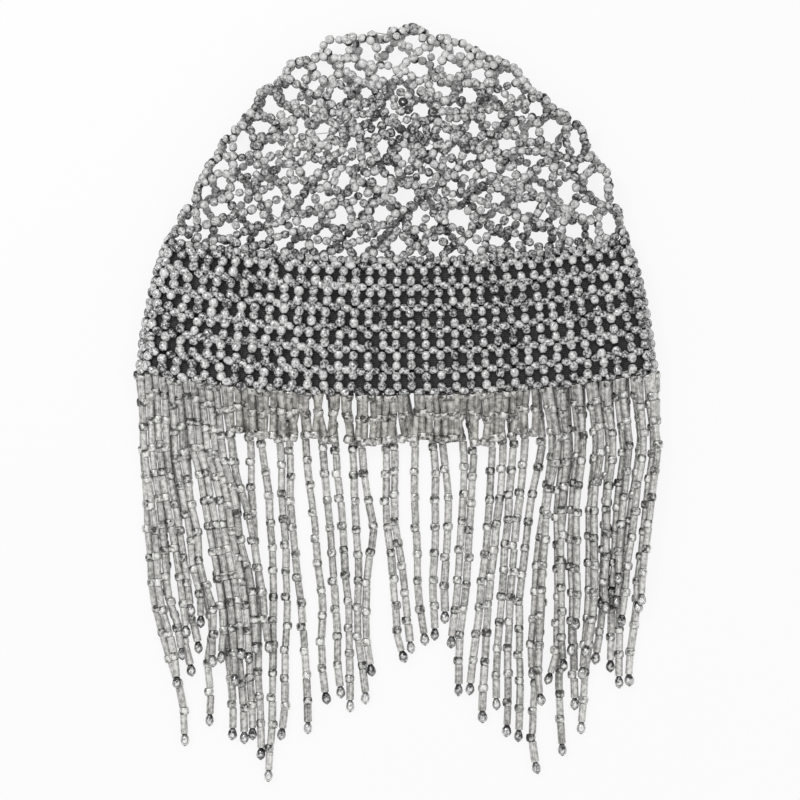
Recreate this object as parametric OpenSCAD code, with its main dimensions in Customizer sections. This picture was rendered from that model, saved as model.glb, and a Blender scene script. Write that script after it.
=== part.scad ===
// A beaded skull cap with a fringe, lying flat on its back layer. A diamond net of small round
// beads closes at the crown, a close band of the same beads runs round the head over a dark
// elastic, and a strand of long and round beads hangs from each column of the band.
// Millimetres, +Z up off the surface it lies on, +X to the wearer's left, +Y from rim to crown.
// The origin is on that surface, under the middle of the whole piece.

/* [Beads] */
// Diameter of the round beads in the net and the band
bead_d = 3.5; // [3.3:0.1:3.6]
// Diameter of the round beads in the fringe
seed_d = 4.1; // [3.9:0.1:4.3]
// Length along the thread of one long bead and the round bead after it
unit_l = 12.4; // [12:0.1:12.8]
// Length of the faceted drop that ends a strand
drop_l = 5.8; // [5.4:0.1:6.2]
// Diameter of the drop where it is widest
drop_d = 4.8; // [4.4:0.1:5]

/* [Band] */
// Columns of beads round the band
columns = 72; // [48:12:72]
// Height of the band
band_h = 61.8; // [58:0.2:66]
// Radius of the arc that the rim makes when the cap lies flat
rim_arc_r = 686; // [640:2:760]
// Thickness of the dark elastic inside the band
elastic_t = 1; // [0.8:0.1:1.2]

/* [Crown] */
// Height of the net above the band, to the fold at the top
crown_h = 109.4; // [104:0.2:114]
// How far up the front the net closes, as a share of its height
closing_share = 0.66; // [0.6:0.01:0.7]
// Radius of the ring where the net closes
closing_r = 8; // [7.5:0.5:9]
// Diamonds of the net round the cap
net_columns = 24; // [20:4:24]
// Steps of the net from the band to the closing ring
net_levels = 14; // [13:1:15]
// Steps before the ring at which every two strings of the net join into one
joining_steps = 2; // [1:1:3]
// Sideways lean of the crown at half its height
crown_lean = 3; // [0:0.5:4]

/* [Lying] */
// Radius of the fold at the two sides and the top
fold_r = 6.5; // [6.2:0.1:7]
// How deep a strand of the front layer drops in its first stretch, as a length along the table
drape_l = 26; // [22:1:32]
// Free gap between neighbouring pieces
gap = 0.3; // [0.2:0.05:0.4]

/* [Hidden] */

// Share of the band's height from its rim, and half the flattened width there along the arc
SIDES = [[0, 119.2], [0.25, 117.3], [0.5, 114.8], [0.75, 111.4], [1, 106.6]];
// Bearing seen from the middle of the band's top edge in degrees, and the distance to the outline
OUTLINE = [
    [0, 108.2], [5, 104.4], [15, 100.6], [30, 99.6], [45, 100],
    [55, 101.6], [65, 104.6], [78, 107.4], [90, 109.4]
];
// Height above the rim, and how far the middle of the front layer rises over its sides
PUFF = [[-10, 0.8], [0, 1.5], [62, 5], [100, 7.5], [140, 6.5], [175, 5]];
// Strands by the place of their root across the rim: across at the root, across at mid_drop,
// across at the tip, and the tip's distance below the rim
STRANDS = [
    [-119, -116, -104, 140], [-105, -103, -93, 158], [-90, -88, -80.5, 162],
    [-75, -74, -69, 167], [-60, -60.5, -59, 181], [-45, -47, -45, 156],
    [-30, -31.5, -27, 142], [-17, -18, -13, 144], [-3, -3, 4, 124],
    [10, 10.5, 11.5, 113], [20, 19.5, 20.5, 114], [24, 23, 25, 130],
    [38, 35.5, 38, 144], [51, 49.5, 50, 154], [65, 61.5, 62.5, 177],
    [79, 74.5, 75, 163], [92, 87.5, 86, 152], [106, 101.5, 97, 134],
    [119, 115, 107, 131]
];
mid_drop = 62;
// How much the number of a strand's long beads varies, and how many fewer the front's have
units_vary = 0.45;
front_fewer = 0.8;
// The stretch of the front rim that carries short strands, and how many long beads they have
short_from = -80;
short_to = 66;
short_units = 2;
// Where a strand's first rings are, as shares of drape_l, and those of a short one, of its length
FRONT_RINGS = [0, 0.3, 0.65, 1];
BACK_RINGS = [0, 1.7];
SHORT_RINGS = [0, 0.45, 0.85];
// The drop's widest ring: its distance from the tip and its width as shares, and the tip's radius
drop_wide_at = 0.4;
drop_wide = 0.86;
drop_tip_r = 0.5;

bead_r = bead_d / 2;
seed_r = seed_d / 2;
strand_r = 1.75;
strand_sides = 5;
strand_turns = 3;
net_r = 1.55;
net_half = 2.2;
// Most of a column that a node of the net may take to either side, how much steps shorten where
// the way up is short, and how much of the closing ring's radius its opening keeps
node_share = 0.3;
squeeze_most = 0.4;
ring_open = 0.35;
// Where the elastic starts and ends up the band, and rows of faces up a wall
elastic_low = 0.02;
elastic_high = 0.98;
wall_rows = 3;
// Half steps over which slopes are taken: degrees round the head, and shares up band and crown
step_u = 0.5;
step_v = 0.02;
step_f = 0.01;
floor_z = bead_r;
upper_rest = 5.8;
net_lift = net_half + gap;
joining_level = net_levels - joining_steps;
net_arc_r = rim_arc_r - band_h - net_lift;
closing_angle = 90 * closing_share;
strand_start = -gap / band_h;

function mean(list) = (list * [for (n = list) 1]) / len(list);
function unit_of(v) = v / norm(v);
function blend(a, b, t) = a + (b - a) * t;

// A repeatable value from -1 to 1 for item i
function wobble(i, k) = 2 * ((i * i * 0.618034 + k * 0.4142) % 1) - 1;

// Half the girth of the flattened section from the middle of a layer to the fold's outermost line
function girth(half_w) = half_w - fold_r + fold_r * PI / 2;

// Where a point q along that girth lies: its distance across, and how far it has left its layer
function folded(q, half_w) =
    let (flat = half_w - fold_r)
    let (turn = max(0, abs(q) - flat) / fold_r * 180 / PI)
    [sign(q) * (min(abs(q), flat) + fold_r * sin(turn)), fold_r * (1 - cos(turn))];

// Height of a layer's mid surface, with the front layer puffed up in the middle
function layer_z(front, left_by, above_rim, share) =
    front
        ? floor_z + 2 * fold_r - left_by + lookup(above_rim, PUFF) * (1 - share * share)
        : floor_z + left_by;

// Place on the band's mid surface: u is 0 at the right fold, 90 in the middle of the front,
// 180 at the left fold and 270 in the middle of the back; v is 0 at the rim and 1 at the top
function band_at(u, v) =
    let (front = u <= 180)
    let (share = front ? 1 - u / 90 : (u - 270) / 90)
    let (half_w = lookup(v, SIDES))
    let (place = folded(share * girth(half_w), half_w))
    let (arc_r = rim_arc_r - v * band_h)
    let (turn = place[0] / arc_r * 180 / PI)
    [
        arc_r * sin(turn),
        rim_arc_r - arc_r * cos(turn),
        layer_z(front, place[1], v * band_h, share)
    ];

// The great arc over a unit dome from the rim's point at u to the point where the net closes
function way_up(u) = acos(sin(u) * cos(closing_angle));
function on_dome(u, f) =
    let (way = way_up(u))
    let (rim = [cos(u), 0, sin(u)])
    let (top = [0, sin(closing_angle), cos(closing_angle)])
    (sin((1 - f) * way) * rim + sin(f * way) * top) / sin(way);

// The dome pressed flat: its angle from the middle of a layer becomes a share of the girth there
function crown_at(u, f) =
    let (p = on_dome(u, f))
    let (share = acos(min(1, abs(p[2]))) / 90)
    let (bearing = atan2(p[1], p[0]))
    let (half_w = lookup(bearing > 90 ? 180 - bearing : bearing, OUTLINE) - bead_r)
    let (place = folded(share * girth(half_w), half_w))
    let (across = place[0] * cos(bearing))
    let (up = place[0] * sin(bearing))
    let (fade = max(0, 1 - up / crown_h))
    let (turn = across / net_arc_r * 180 / PI)
    [
        across + fade * (net_arc_r * sin(turn) - across) + crown_lean * sin(180 * up / crown_h),
        band_h + net_lift + up + fade * net_arc_r * (1 - cos(turn)),
        layer_z(p[2] >= 0, place[1], band_h + up, share)
    ];

// A net node's share of the way up. Steps shorten towards the ring where the way is short
function level_share(u, level) =
    let (way = way_up(u))
    let (ring = 1 - closing_r / (way / 90 * mean([crown_h, OUTLINE[4][1]])))
    let (squeeze = squeeze_most * (180 - closing_angle - way) / (180 - 2 * closing_angle))
    let (x = level / net_levels)
    ring * ((1 + squeeze) * x - squeeze * x * x);

function band_normal(u, v) =
    unit_of(cross(
        band_at(u + step_u, v) - band_at(u - step_u, v),
        band_at(u, v - step_v) - band_at(u, v + step_v)
    ));
function crown_normal(u, f) =
    unit_of(cross(
        crown_at(u + step_u, f) - crown_at(u - step_u, f),
        crown_at(u, f - step_f) - crown_at(u, f + step_f)
    ));

// Girth positions of one quarter from the fold to the middle: close on the fold, wide on the flat
QUARTER = [0, 2, 4.5, 8, 22, 40, 58, 76];
function all_round() =
    concat(
        [for (a = QUARTER) a], [90], [for (k = [len(QUARTER) - 1 : -1 : 1]) 180 - QUARTER[k]],
        [for (a = QUARTER) 180 + a], [270], [for (k = [len(QUARTER) - 1 : -1 : 1]) 360 - QUARTER[k]]
    );

// A closed wall round the head between two offsets from the band's mid surface
module wall(outside, inside, low, high) {
    bearings = all_round();
    n = len(bearings);
    points = [
        for (side = [outside, inside])
            for (row = [0 : wall_rows])
                for (u = bearings)
                    let (v = blend(low, high, row / wall_rows))
                    band_at(u, v) + side * band_normal(u, v)
    ];
    inner = n * (wall_rows + 1);
    faces = concat(
        [for (row = [0 : wall_rows - 1]) for (k = [0 : n - 1])
            let (a = row * n + k, b = row * n + (k + 1) % n)
            [a, b, b + n, a + n]],
        [for (row = [0 : wall_rows - 1]) for (k = [0 : n - 1])
            let (a = inner + row * n + k, b = inner + row * n + (k + 1) % n)
            [b, a, a + n, b + n]],
        [for (k = [0 : n - 1])
            let (a = k, b = (k + 1) % n)
            [b, a, a + inner, b + inner]],
        [for (k = [0 : n - 1])
            let (a = wall_rows * n + k, b = wall_rows * n + (k + 1) % n)
            [a, b, b + inner, a + inner]]
    );
    polyhedron(points = points, faces = faces);
}

// Corners of a net node: towards the top, behind, towards the rim and ahead
TOP = 0;
BEHIND = 1;
RIM = 2;
AHEAD = 3;
function is_wide(level) = level <= joining_level;
function nodes_at(level) = is_wide(level) ? net_columns : net_columns / 2;
function first_of(level) =
    is_wide(level)
        ? level * net_columns
        : (joining_level + 1) * net_columns + (level - joining_level - 1) * net_columns / 2;
function turned(level) = (level - joining_level - 1) % 2;
function node_u(i, level) =
    (is_wide(level)
        ? i + (level % 2) / 2
        : 2 * i + 0.5 + (joining_level % 2) / 2 + turned(level)) * 360 / net_columns;
// The nodes of the next level that node i is strung to: one towards higher u, one towards lower
function ahead(i, level) =
    level < joining_level ? i + level % 2
    : level == joining_level ? floor(i / 2)
    : i + turned(level);
function behind(i, level) = ahead(i, level) - (level == joining_level ? 0 : 1);
function has_ahead(i, level) = level != joining_level || i % 2 == 0;
function has_behind(i, level) = level != joining_level || i % 2 == 1;
function corner_place(i, level, corner) =
    let (u = node_u(i, level))
    let (f = level_share(u, level))
    let (per_u = norm(crown_at(u + step_u, f) - crown_at(u - step_u, f)) / (2 * step_u))
    let (per_f = norm(crown_at(u, f + step_f / 2) - crown_at(u, f - step_f / 2)) / step_f)
    let (step = (level_share(u, net_levels) - level_share(u, net_levels - 1)) * per_f)
    let (half_u = min(net_half / per_u, node_share * 360 / nodes_at(level)))
    let (half_f = min(net_half, blend(step, net_half, 1 - level / net_levels)) / per_f)
    let (last = level == net_levels)
    corner == TOP ? [u, last ? 1 - (1 - f) * ring_open : f + half_f]
    : corner == RIM ? [u, f - half_f]
    : corner == AHEAD ? [u + half_u, f]
    : [u - half_u, f];
function around(u) = u < 0 ? u + 360 : u >= 360 ? u - 360 : u;

NET_POINTS = [
    for (level = [0 : net_levels])
        for (i = [0 : nodes_at(level) - 1])
            for (corner = [TOP, BEHIND, RIM, AHEAD])
                for (side = [net_r, -net_r])
                    let (place = corner_place(i, level, corner))
                    crown_at(around(place[0]), place[1])
                        + side * crown_normal(around(place[0]), place[1])
];
module crown_net() {
    function at(i, level, corner) =
        let (n = nodes_at(level))
        ((first_of(level) + (i + n) % n) * 4 + corner) * 2;
    // An outer face with its inner twin, and a wall that joins the two along an edge
    function plate(a, b, c, d) = [[a, b, c, d], [d + 1, c + 1, b + 1, a + 1]];
    function edge(a, b) = [b, a, a + 1, b + 1];
    nodes = [for (level = [0 : net_levels]) for (i = [0 : nodes_at(level) - 1])
        each plate(at(i, level, TOP), at(i, level, BEHIND), at(i, level, RIM), at(i, level, AHEAD))];
    struts_ahead = [for (level = [0 : net_levels - 1]) for (i = [0 : nodes_at(level) - 1])
        let (top = at(i, level, TOP))
        let (side = at(i, level, AHEAD))
        let (to = ahead(i, level))
        each has_ahead(i, level)
            ? concat(
                plate(top, side, at(to, level + 1, RIM), at(to, level + 1, BEHIND)),
                [edge(side, at(to, level + 1, RIM)), edge(at(to, level + 1, BEHIND), top)])
            : [edge(side, top)]];
    struts_behind = [for (level = [0 : net_levels - 1]) for (i = [0 : nodes_at(level) - 1])
        let (top = at(i, level, TOP))
        let (side = at(i, level, BEHIND))
        let (to = behind(i, level))
        each has_behind(i, level)
            ? concat(
                plate(top, at(to, level + 1, AHEAD), at(to, level + 1, RIM), side),
                [edge(top, at(to, level + 1, AHEAD)), edge(at(to, level + 1, RIM), side)])
            : [edge(top, side)]];
    feet = [for (i = [0 : net_columns - 1])
        each [edge(at(i, 0, BEHIND), at(i, 0, RIM)), edge(at(i, 0, RIM), at(i, 0, AHEAD))]];
    ring = [for (i = [0 : nodes_at(net_levels) - 1])
        let (top = at(i, net_levels, TOP))
        let (next_top = at(i + 1, net_levels, TOP))
        let (a = at(i, net_levels, AHEAD))
        let (b = at(i + 1, net_levels, BEHIND))
        each concat(plate(top, a, b, next_top), [edge(a, b), edge(next_top, top)])];
    color("silver")
        translate([0, lie_y, 0])
            polyhedron(
                points = NET_POINTS,
                faces = concat(nodes, struts_ahead, struts_behind, feet, ring)
            );
}

module bead_band() {
    color("lightgray")
        translate([0, lie_y, 0])
            wall(bead_r, -bead_r, 0, 1);
}

module elastic_band() {
    color("dimgray")
        translate([0, lie_y, 0])
            wall(-bead_r - gap, -bead_r - gap - elastic_t, elastic_low, elastic_high);
}

// The strand under column c: where it starts, and whether it hangs from the front layer
function strand_u(c) = (c + 0.5) * 360 / columns;
function is_front(c) = strand_u(c) < 180;
function root(c) = band_at(strand_u(c), strand_start);
function is_short(c) = is_front(c) && root(c)[0] > short_from && root(c)[0] < short_to;

// Where a strand settles across: spread evenly over the flattened width, and in the front layer
// moved towards the middle by up to half a column, into the gaps of the strands under it
function settled(c) =
    let (u = strand_u(c))
    let (even = SIDES[0][1] * (is_front(c) ? 1 - u / 90 : (u - 270) / 90))
    let (half_column = SIDES[0][1] * 2 / columns)
    even - (is_front(c) ? half_column * max(-1, min(1, even / short_to)) : 0);
function column_of(table, key, col) = lookup(key, [for (row = table) [row[0], row[col]]]);
function units(c) =
    is_short(c)
        ? short_units
        : round((column_of(STRANDS, settled(c), 3) - drop_l) / unit_l
            + units_vary * wobble(c, 1) - (is_front(c) ? front_fewer : 0));
function hang(c) = units(c) * unit_l + (is_short(c) ? 0 : drop_l);

// Across at a drop below the root: a parabola through root, middle and tip
function across(c, drop) =
    let (key = settled(c))
    let (tip = column_of(STRANDS, key, 3))
    let (a = key, b = column_of(STRANDS, key, 1), d = column_of(STRANDS, key, 2))
    let (l0 = (drop - mid_drop) * (drop - tip) / (mid_drop * tip))
    let (l1 = drop * (drop - tip) / (mid_drop * (mid_drop - tip)))
    let (l2 = drop * (drop - mid_drop) / (tip * (tip - mid_drop)))
    a * l0 + b * l1 + d * l2;
function settle(c, drop) = pow(max(0, 1 - drop / drape_l), 2);
function strand_at(c, drop) =
    let (start = root(c))
    let (rest = is_front(c) ? upper_rest : seed_r)
    [
        (is_short(c) ? settled(c) : across(c, drop)) + (start[0] - settled(c)) * settle(c, drop),
        start[1] - drop,
        rest + (start[2] - rest) * settle(c, drop)
    ];
function strand_drops(c) =
    let (draped = is_front(c) ? FRONT_RINGS : BACK_RINGS)
    is_short(c)
        ? hang(c) * SHORT_RINGS
        : concat(
            drape_l * draped,
            [for (k = [1 : strand_turns])
                blend(drape_l * max(draped), hang(c) - drop_l, k / strand_turns)]
        );

// One strand as rings of a tube, with its drop as two more rings on the end
function ring_at(c, drop, r) =
    let (p = strand_at(c, drop))
    let (ahead = unit_of(
        drop == 0
            ? [p[0], p[1] - rim_arc_r, 0]
            : strand_at(c, drop + 1) - strand_at(c, drop - 1)
    ))
    let (side = unit_of(cross(ahead, [0, 0, 1])))
    let (up = cross(side, ahead))
    [for (k = [0 : strand_sides - 1])
        let (turn = (k + 0.5) * 360 / strand_sides - 90)
        p + r * (cos(turn) * side + sin(turn) * up)];
function strand_rings_of(c) =
    concat(
        [for (drop = strand_drops(c)) ring_at(c, drop, strand_r)],
        is_short(c)
            ? []
            : [
                ring_at(c, hang(c) - drop_l * drop_wide_at, drop_d / 2 * drop_wide),
                ring_at(c, hang(c), drop_tip_r)
            ]
    );

// Many tubes in one polyhedron: rings in order along each, closed at both ends
module fringe(strands) {
    tubes = [for (c = strands) strand_rings_of(c)];
    counts = [for (t = tubes) len(t)];
    starts = [for (k = 0, sum = 0; k < len(tubes); sum = sum + counts[k], k = k + 1) sum];
    s = strand_sides;
    points = [for (t = tubes) for (ring = t) each ring];
    faces = [for (k = [0 : len(tubes) - 1])
        let (first = starts[k] * s, last = (starts[k] + counts[k] - 1) * s)
        each concat(
            [[for (j = [s - 1 : -1 : 0]) first + j]],
            [for (row = [0 : counts[k] - 2]) for (j = [0 : s - 1])
                let (a = first + row * s + j, b = first + row * s + (j + 1) % s)
                [a, b, b + s, a + s]],
            [[for (j = [0 : s - 1]) last + j]]
        )];
    color("gainsboro")
        translate([0, lie_y, 0])
            polyhedron(points = points, faces = faces);
}

ALL = [for (c = [0 : columns - 1]) c];
module front_fringe() { fringe([for (c = ALL) if (is_short(c)) c]); }
module left_fringe() { fringe([for (c = ALL) if (is_front(c) && root(c)[0] < short_from) c]); }
module right_fringe() { fringe([for (c = ALL) if (is_front(c) && root(c)[0] > short_to) c]); }
module back_fringe() { fringe([for (c = ALL) if (!is_front(c)) c]); }

// The piece is moved along Y so that the origin is midway between the crown and the lowest drop
crown_top = max([for (p = NET_POINTS) p[1]]);
lowest = min([for (c = ALL) root(c)[1] - hang(c)]);
lie_y = -(crown_top + lowest) / 2;

crown_net();
bead_band();
elastic_band();
front_fringe();
left_fringe();
right_fringe();
back_fringe();
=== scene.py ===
"""The looks of a beaded headpiece that lies flat on a pale table.

The cap is a flattened bowl of beadwork: an openwork net at the crown, a close band over dark
elastic, and a fringe of strings of long and round beads. All beads are placed on the surfaces and
routes of the construction, in millimetres, and turned into metres where a mesh is put in.
"""

from __future__ import annotations

import logging
from dataclasses import dataclass, field, fields, replace
from enum import Enum

import bpy
import numpy as np
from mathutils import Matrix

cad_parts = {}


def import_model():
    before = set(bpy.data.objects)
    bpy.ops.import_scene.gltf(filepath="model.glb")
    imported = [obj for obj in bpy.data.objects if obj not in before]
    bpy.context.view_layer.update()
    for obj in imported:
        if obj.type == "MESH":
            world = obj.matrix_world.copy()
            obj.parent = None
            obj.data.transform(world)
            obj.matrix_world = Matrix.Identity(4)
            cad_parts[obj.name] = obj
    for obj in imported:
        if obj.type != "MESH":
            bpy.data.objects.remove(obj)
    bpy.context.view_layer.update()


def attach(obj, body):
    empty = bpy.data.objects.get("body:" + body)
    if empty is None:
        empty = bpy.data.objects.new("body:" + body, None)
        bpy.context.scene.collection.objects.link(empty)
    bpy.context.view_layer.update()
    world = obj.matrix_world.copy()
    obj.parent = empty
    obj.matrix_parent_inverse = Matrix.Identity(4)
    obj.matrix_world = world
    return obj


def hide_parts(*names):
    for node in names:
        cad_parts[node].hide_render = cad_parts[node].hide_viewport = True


LOG = logging.getLogger("headpiece")
MM = 0.001
# Millimetres that a bead stays clear of the table.
CLEAR = 0.02
# The photo's middle on the cap in pixels, and the millimetres of a pixel.
PHOTO_MID = (397.0, 396.0)
PHOTO_MM = 0.461
# The darkest and the palest tone that a bead is drawn with.
TONES = (0.1, 1)
COLOUR, NUMBER = "NodeSocketColor", "NodeSocketFloat"
Table = tuple[tuple[float, ...], ...]
Rgb = tuple[float, float, float]
Array = np.ndarray
Material, Node, Object = bpy.types.Material, bpy.types.Node, bpy.types.Object
Socket, Tree = bpy.types.NodeSocket, bpy.types.NodeTree


class Part(Enum):
    """The construction's nodes that the pieces of this script stand for."""

    NET = "crown_net"
    BAND = "bead_band"
    ELASTIC = "elastic_band"
    FRONT = "front_fringe"
    LEFT = "left_fringe"
    RIGHT = "right_fringe"
    BACK = "back_fringe"


class Slot(Enum):
    """The record's material slots."""

    ROUND = "round_bead_glass"
    ELASTIC = "dark_elastic"
    FRINGE = "fringe_glass"


def lookup(x: Array | float, table: Table) -> Array:
    """The table's second column at x of its first, in a straight line between rows."""
    return np.interp(x, *np.array(table).T)


def unit(v: Array) -> Array:
    """Vectors of length one: v divided by its own length."""
    return v / np.maximum(np.linalg.norm(v, axis=-1, keepdims=True), 1e-9)


def angles(sides: int) -> Array:
    """Angles of the corners round a ring: half a step, and then a step more each."""
    return (np.arange(sides) + 0.5) * 2 * np.pi / sides


def grid_faces(rows: int, columns: int) -> Array:
    """Faces of a grid that closes on itself both ways.

    Args:
        rows: Corners one way.
        columns: Corners the other way.

    Returns:
        Four corner numbers a face, row by row.
    """
    i, j = np.meshgrid(np.arange(rows), np.arange(columns), indexing="ij")
    low, high = i * columns, (i + 1) % rows * columns
    k = (j + 1) % columns
    return np.stack([low + j, low + k, high + k, high + j], -1).reshape(-1, 4)


def linked(name: str, data: bpy.types.ID) -> Object:
    """Puts a new object into the scene.

    Args:
        name: Its name.
        data: Its mesh, camera or light.

    Returns:
        The object.
    """
    made = bpy.data.objects.new(name, data)
    bpy.context.scene.collection.objects.link(made)
    return made


@dataclass(frozen=True)
class FlatCap:
    """The cap's mid surface as it lies, in millimetres.

    Bearings u run round the head in degrees: 0 at the right fold, 90 in the middle of the front
    layer, 180 at the left fold and 270 in the middle of the back layer.

    Attributes:
        lie_y: How far up the table the whole is moved.
        floor_z: Height of the back layer.
        fold_r: Radius of the two folds at the sides.
        rim_arc_r: Radius of the arc that the rim follows across.
        band_h: Height of the band.
        crown_h: Height of the crown over it.
        net_lift: Room between the band's top and the net.
        crown_lean: How far the crown leans to the right at half its height.
        closing_share: How far up the front layer the net closes, as a share of the way.
        closing_r: Radius of the ring where it closes.
        squeeze: How much closer the net's steps are near that ring, where the way is shortest.
        edge_pull: How far a point near the outline is drawn out to it, as a share of what it lacks.
        edge_reach: How far in from the outline that reaches.
        sides: Half the flattened width at shares of the band's height.
        outline: Reach of the crown's outline at bearings from its right end up.
        puff: Rise of the front layer's middle at heights over the rim.
        step: Half the steps that tangents are taken over: degrees, and share of the band's height.
    """

    lie_y: float = 2.26
    floor_z: float = 1.75
    fold_r: float = 6.5
    rim_arc_r: float = 686.0
    band_h: float = 61.8
    crown_h: float = 109.4
    net_lift: float = 0.3
    crown_lean: float = 3.0
    closing_share: float = 0.66
    closing_r: float = 8.0
    squeeze: float = 0.4
    edge_pull: float = 0.7
    edge_reach: float = 4.0
    sides: Table = ((0, 119.2), (0.25, 117.3), (0.5, 114.8), (0.75, 111.4), (1, 106.6))
    outline: Table = (
        (0, 108.2), (5, 104.4), (15, 100.6), (30, 99.6), (45, 100),
        (55, 101.6), (65, 104.6), (78, 107.4), (90, 109.4),
    )
    puff: Table = ((-10, 0.8), (0, 1.5), (62, 5), (100, 7.5), (140, 6.5), (175, 5))
    step: tuple[float, float] = (0.5, 0.02)

    def girth(self, half_w: Array) -> Array:
        """Half the girth: the flat part, half_w less the fold's radius, and a quarter of its circle."""
        return half_w - self.fold_r + self.fold_r * np.pi / 2

    def folded(self, q: Array, half_w: Array) -> tuple[Array, Array]:
        """Where a point q along the girth lies: at q on the flat, and then round the fold.

        The fold turns by (q - flat) / r, so the point lies r sin(turn) further across and has left
        its layer by r (1 - cos(turn)).

        Args:
            q: Signed distance along the girth from the middle of a layer.
            half_w: Half the flattened width there.

        Returns:
            The distance across, and how far the point has left its layer.
        """
        flat = half_w - self.fold_r
        turn = np.maximum(0, np.abs(q) - flat) / self.fold_r
        across = np.sign(q) * (np.minimum(np.abs(q), flat) + self.fold_r * np.sin(turn))
        return across, self.fold_r * (1 - np.cos(turn))

    def layer_z(self, front: Array, left_by: Array, above: Array, share: Array) -> Array:
        """Height of a layer: the front one rises by puff (1 - share share) over its sides."""
        top = self.floor_z + 2 * self.fold_r - left_by
        return np.where(front, top + lookup(above, self.puff) * (1 - share**2), self.floor_z + left_by)

    def band_at(self, u: Array, v: Array) -> Array:
        """The band: a strip of a flat ring of radius rim_arc_r, less v times its height.

        Args:
            u: Bearings in degrees.
            v: Shares of the band's height, 0 at the rim.

        Returns:
            Points, with the last axis X, Y and Z.
        """
        u = np.asarray(u, float) % 360
        v = np.asarray(v, float) + 0 * u
        front = u <= 180
        share = np.where(front, 1 - u / 90, (u - 270) / 90)
        half_w = lookup(v, self.sides)
        across, left_by = self.folded(share * self.girth(half_w), half_w)
        arc_r = self.rim_arc_r - v * self.band_h
        turn = across / arc_r
        z = self.layer_z(front, left_by, v * self.band_h, share)
        return np.stack([arc_r * np.sin(turn), self.rim_arc_r - arc_r * np.cos(turn) + self.lie_y, z], -1)

    def tangents(self, u: Array, v: Array) -> tuple[Array, Array]:
        """Directions round the band and up it: the point a step on less the one a step back.

        Args:
            u: Bearings in degrees.
            v: Shares of the band's height.

        Returns:
            The two directions, not of length one.
        """
        du, dv = self.step
        round_it = self.band_at(u + du, v) - self.band_at(u - du, v)
        return round_it, self.band_at(u, v + dv) - self.band_at(u, v - dv)

    def way_up(self, u: Array) -> Array:
        """Angle in degrees over a unit dome from the rim at u to the closing: acos(sin u cos c)."""
        closing = np.radians(90 * self.closing_share)
        return np.degrees(np.arccos(np.sin(np.radians(u)) * np.cos(closing)))

    def crown_at(self, u: Array, f: Array) -> Array:
        """The crown: a unit dome pressed flat.

        A point lies at share f of the great arc from the rim at u to the closing. Its angle from
        the middle of its layer, over 90 degrees, is a share of the girth at its bearing. What lacks
        s to the outline is drawn out to lack s (1 - pull exp(-(s / reach) squared)). Towards the
        band, the sheet is bent along the band's top arc.

        Args:
            u: Bearings in degrees.
            f: Shares of the way up, 0 at the band and 1 at the closing.

        Returns:
            Points, with the last axis X, Y and Z.
        """
        u = np.asarray(u, float)
        f = np.asarray(f, float) + 0 * u
        closing = np.radians(90 * self.closing_share)
        way = np.radians(self.way_up(u))
        turn_u = np.radians(u)
        rim = np.stack([np.cos(turn_u), 0 * u, np.sin(turn_u)], -1)
        top = np.array([0, np.sin(closing), np.cos(closing)])
        p = np.sin((1 - f) * way)[..., None] * rim + np.sin(f * way)[..., None] * top
        p = p / np.sin(way)[..., None]
        share = np.degrees(np.arccos(np.clip(np.abs(p[..., 2]), 0, 1))) / 90
        bearing = np.degrees(np.arctan2(p[..., 1], p[..., 0]))
        half_w = lookup(np.where(bearing > 90, 180 - bearing, bearing), self.outline) - self.floor_z
        along, left_by = self.folded(share * self.girth(half_w), half_w)
        short = half_w - along
        along = half_w - short * (1 - self.edge_pull * np.exp(-((short / self.edge_reach) ** 2)))
        across = along * np.cos(np.radians(bearing))
        up = along * np.sin(np.radians(bearing))
        fade = np.maximum(0, 1 - up / self.crown_h)
        arc_r = self.rim_arc_r - self.band_h - self.net_lift
        turn = across / arc_r
        lean = self.crown_lean * np.sin(np.pi * up / self.crown_h)
        x = across + fade * (arc_r * np.sin(turn) - across) + lean
        y = self.band_h + self.net_lift + up + fade * arc_r * (1 - np.cos(turn)) + self.lie_y
        return np.stack([x, y, self.layer_z(p[..., 2] >= 0, left_by, self.band_h + up, share)], -1)

    def level_share(self, u: Array, level: Array, levels: int) -> Array:
        """A net level's share of the way up: ring ((1 + s) x - s x x), with x = level / levels.

        Args:
            u: Bearings in degrees.
            level: Steps up from the band.
            levels: Steps in all.

        Returns:
            Shares of the way, where s grows as the way at u is shorter.
        """
        way = self.way_up(u)
        closing = 90 * self.closing_share
        ring = 1 - self.closing_r / (way / 90 * (self.crown_h + lookup(45, self.outline)) / 2)
        squeeze = self.squeeze * (180 - closing - way) / (180 - 2 * closing)
        x = level / levels
        return ring * ((1 + squeeze) * x - squeeze * x * x)


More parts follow.
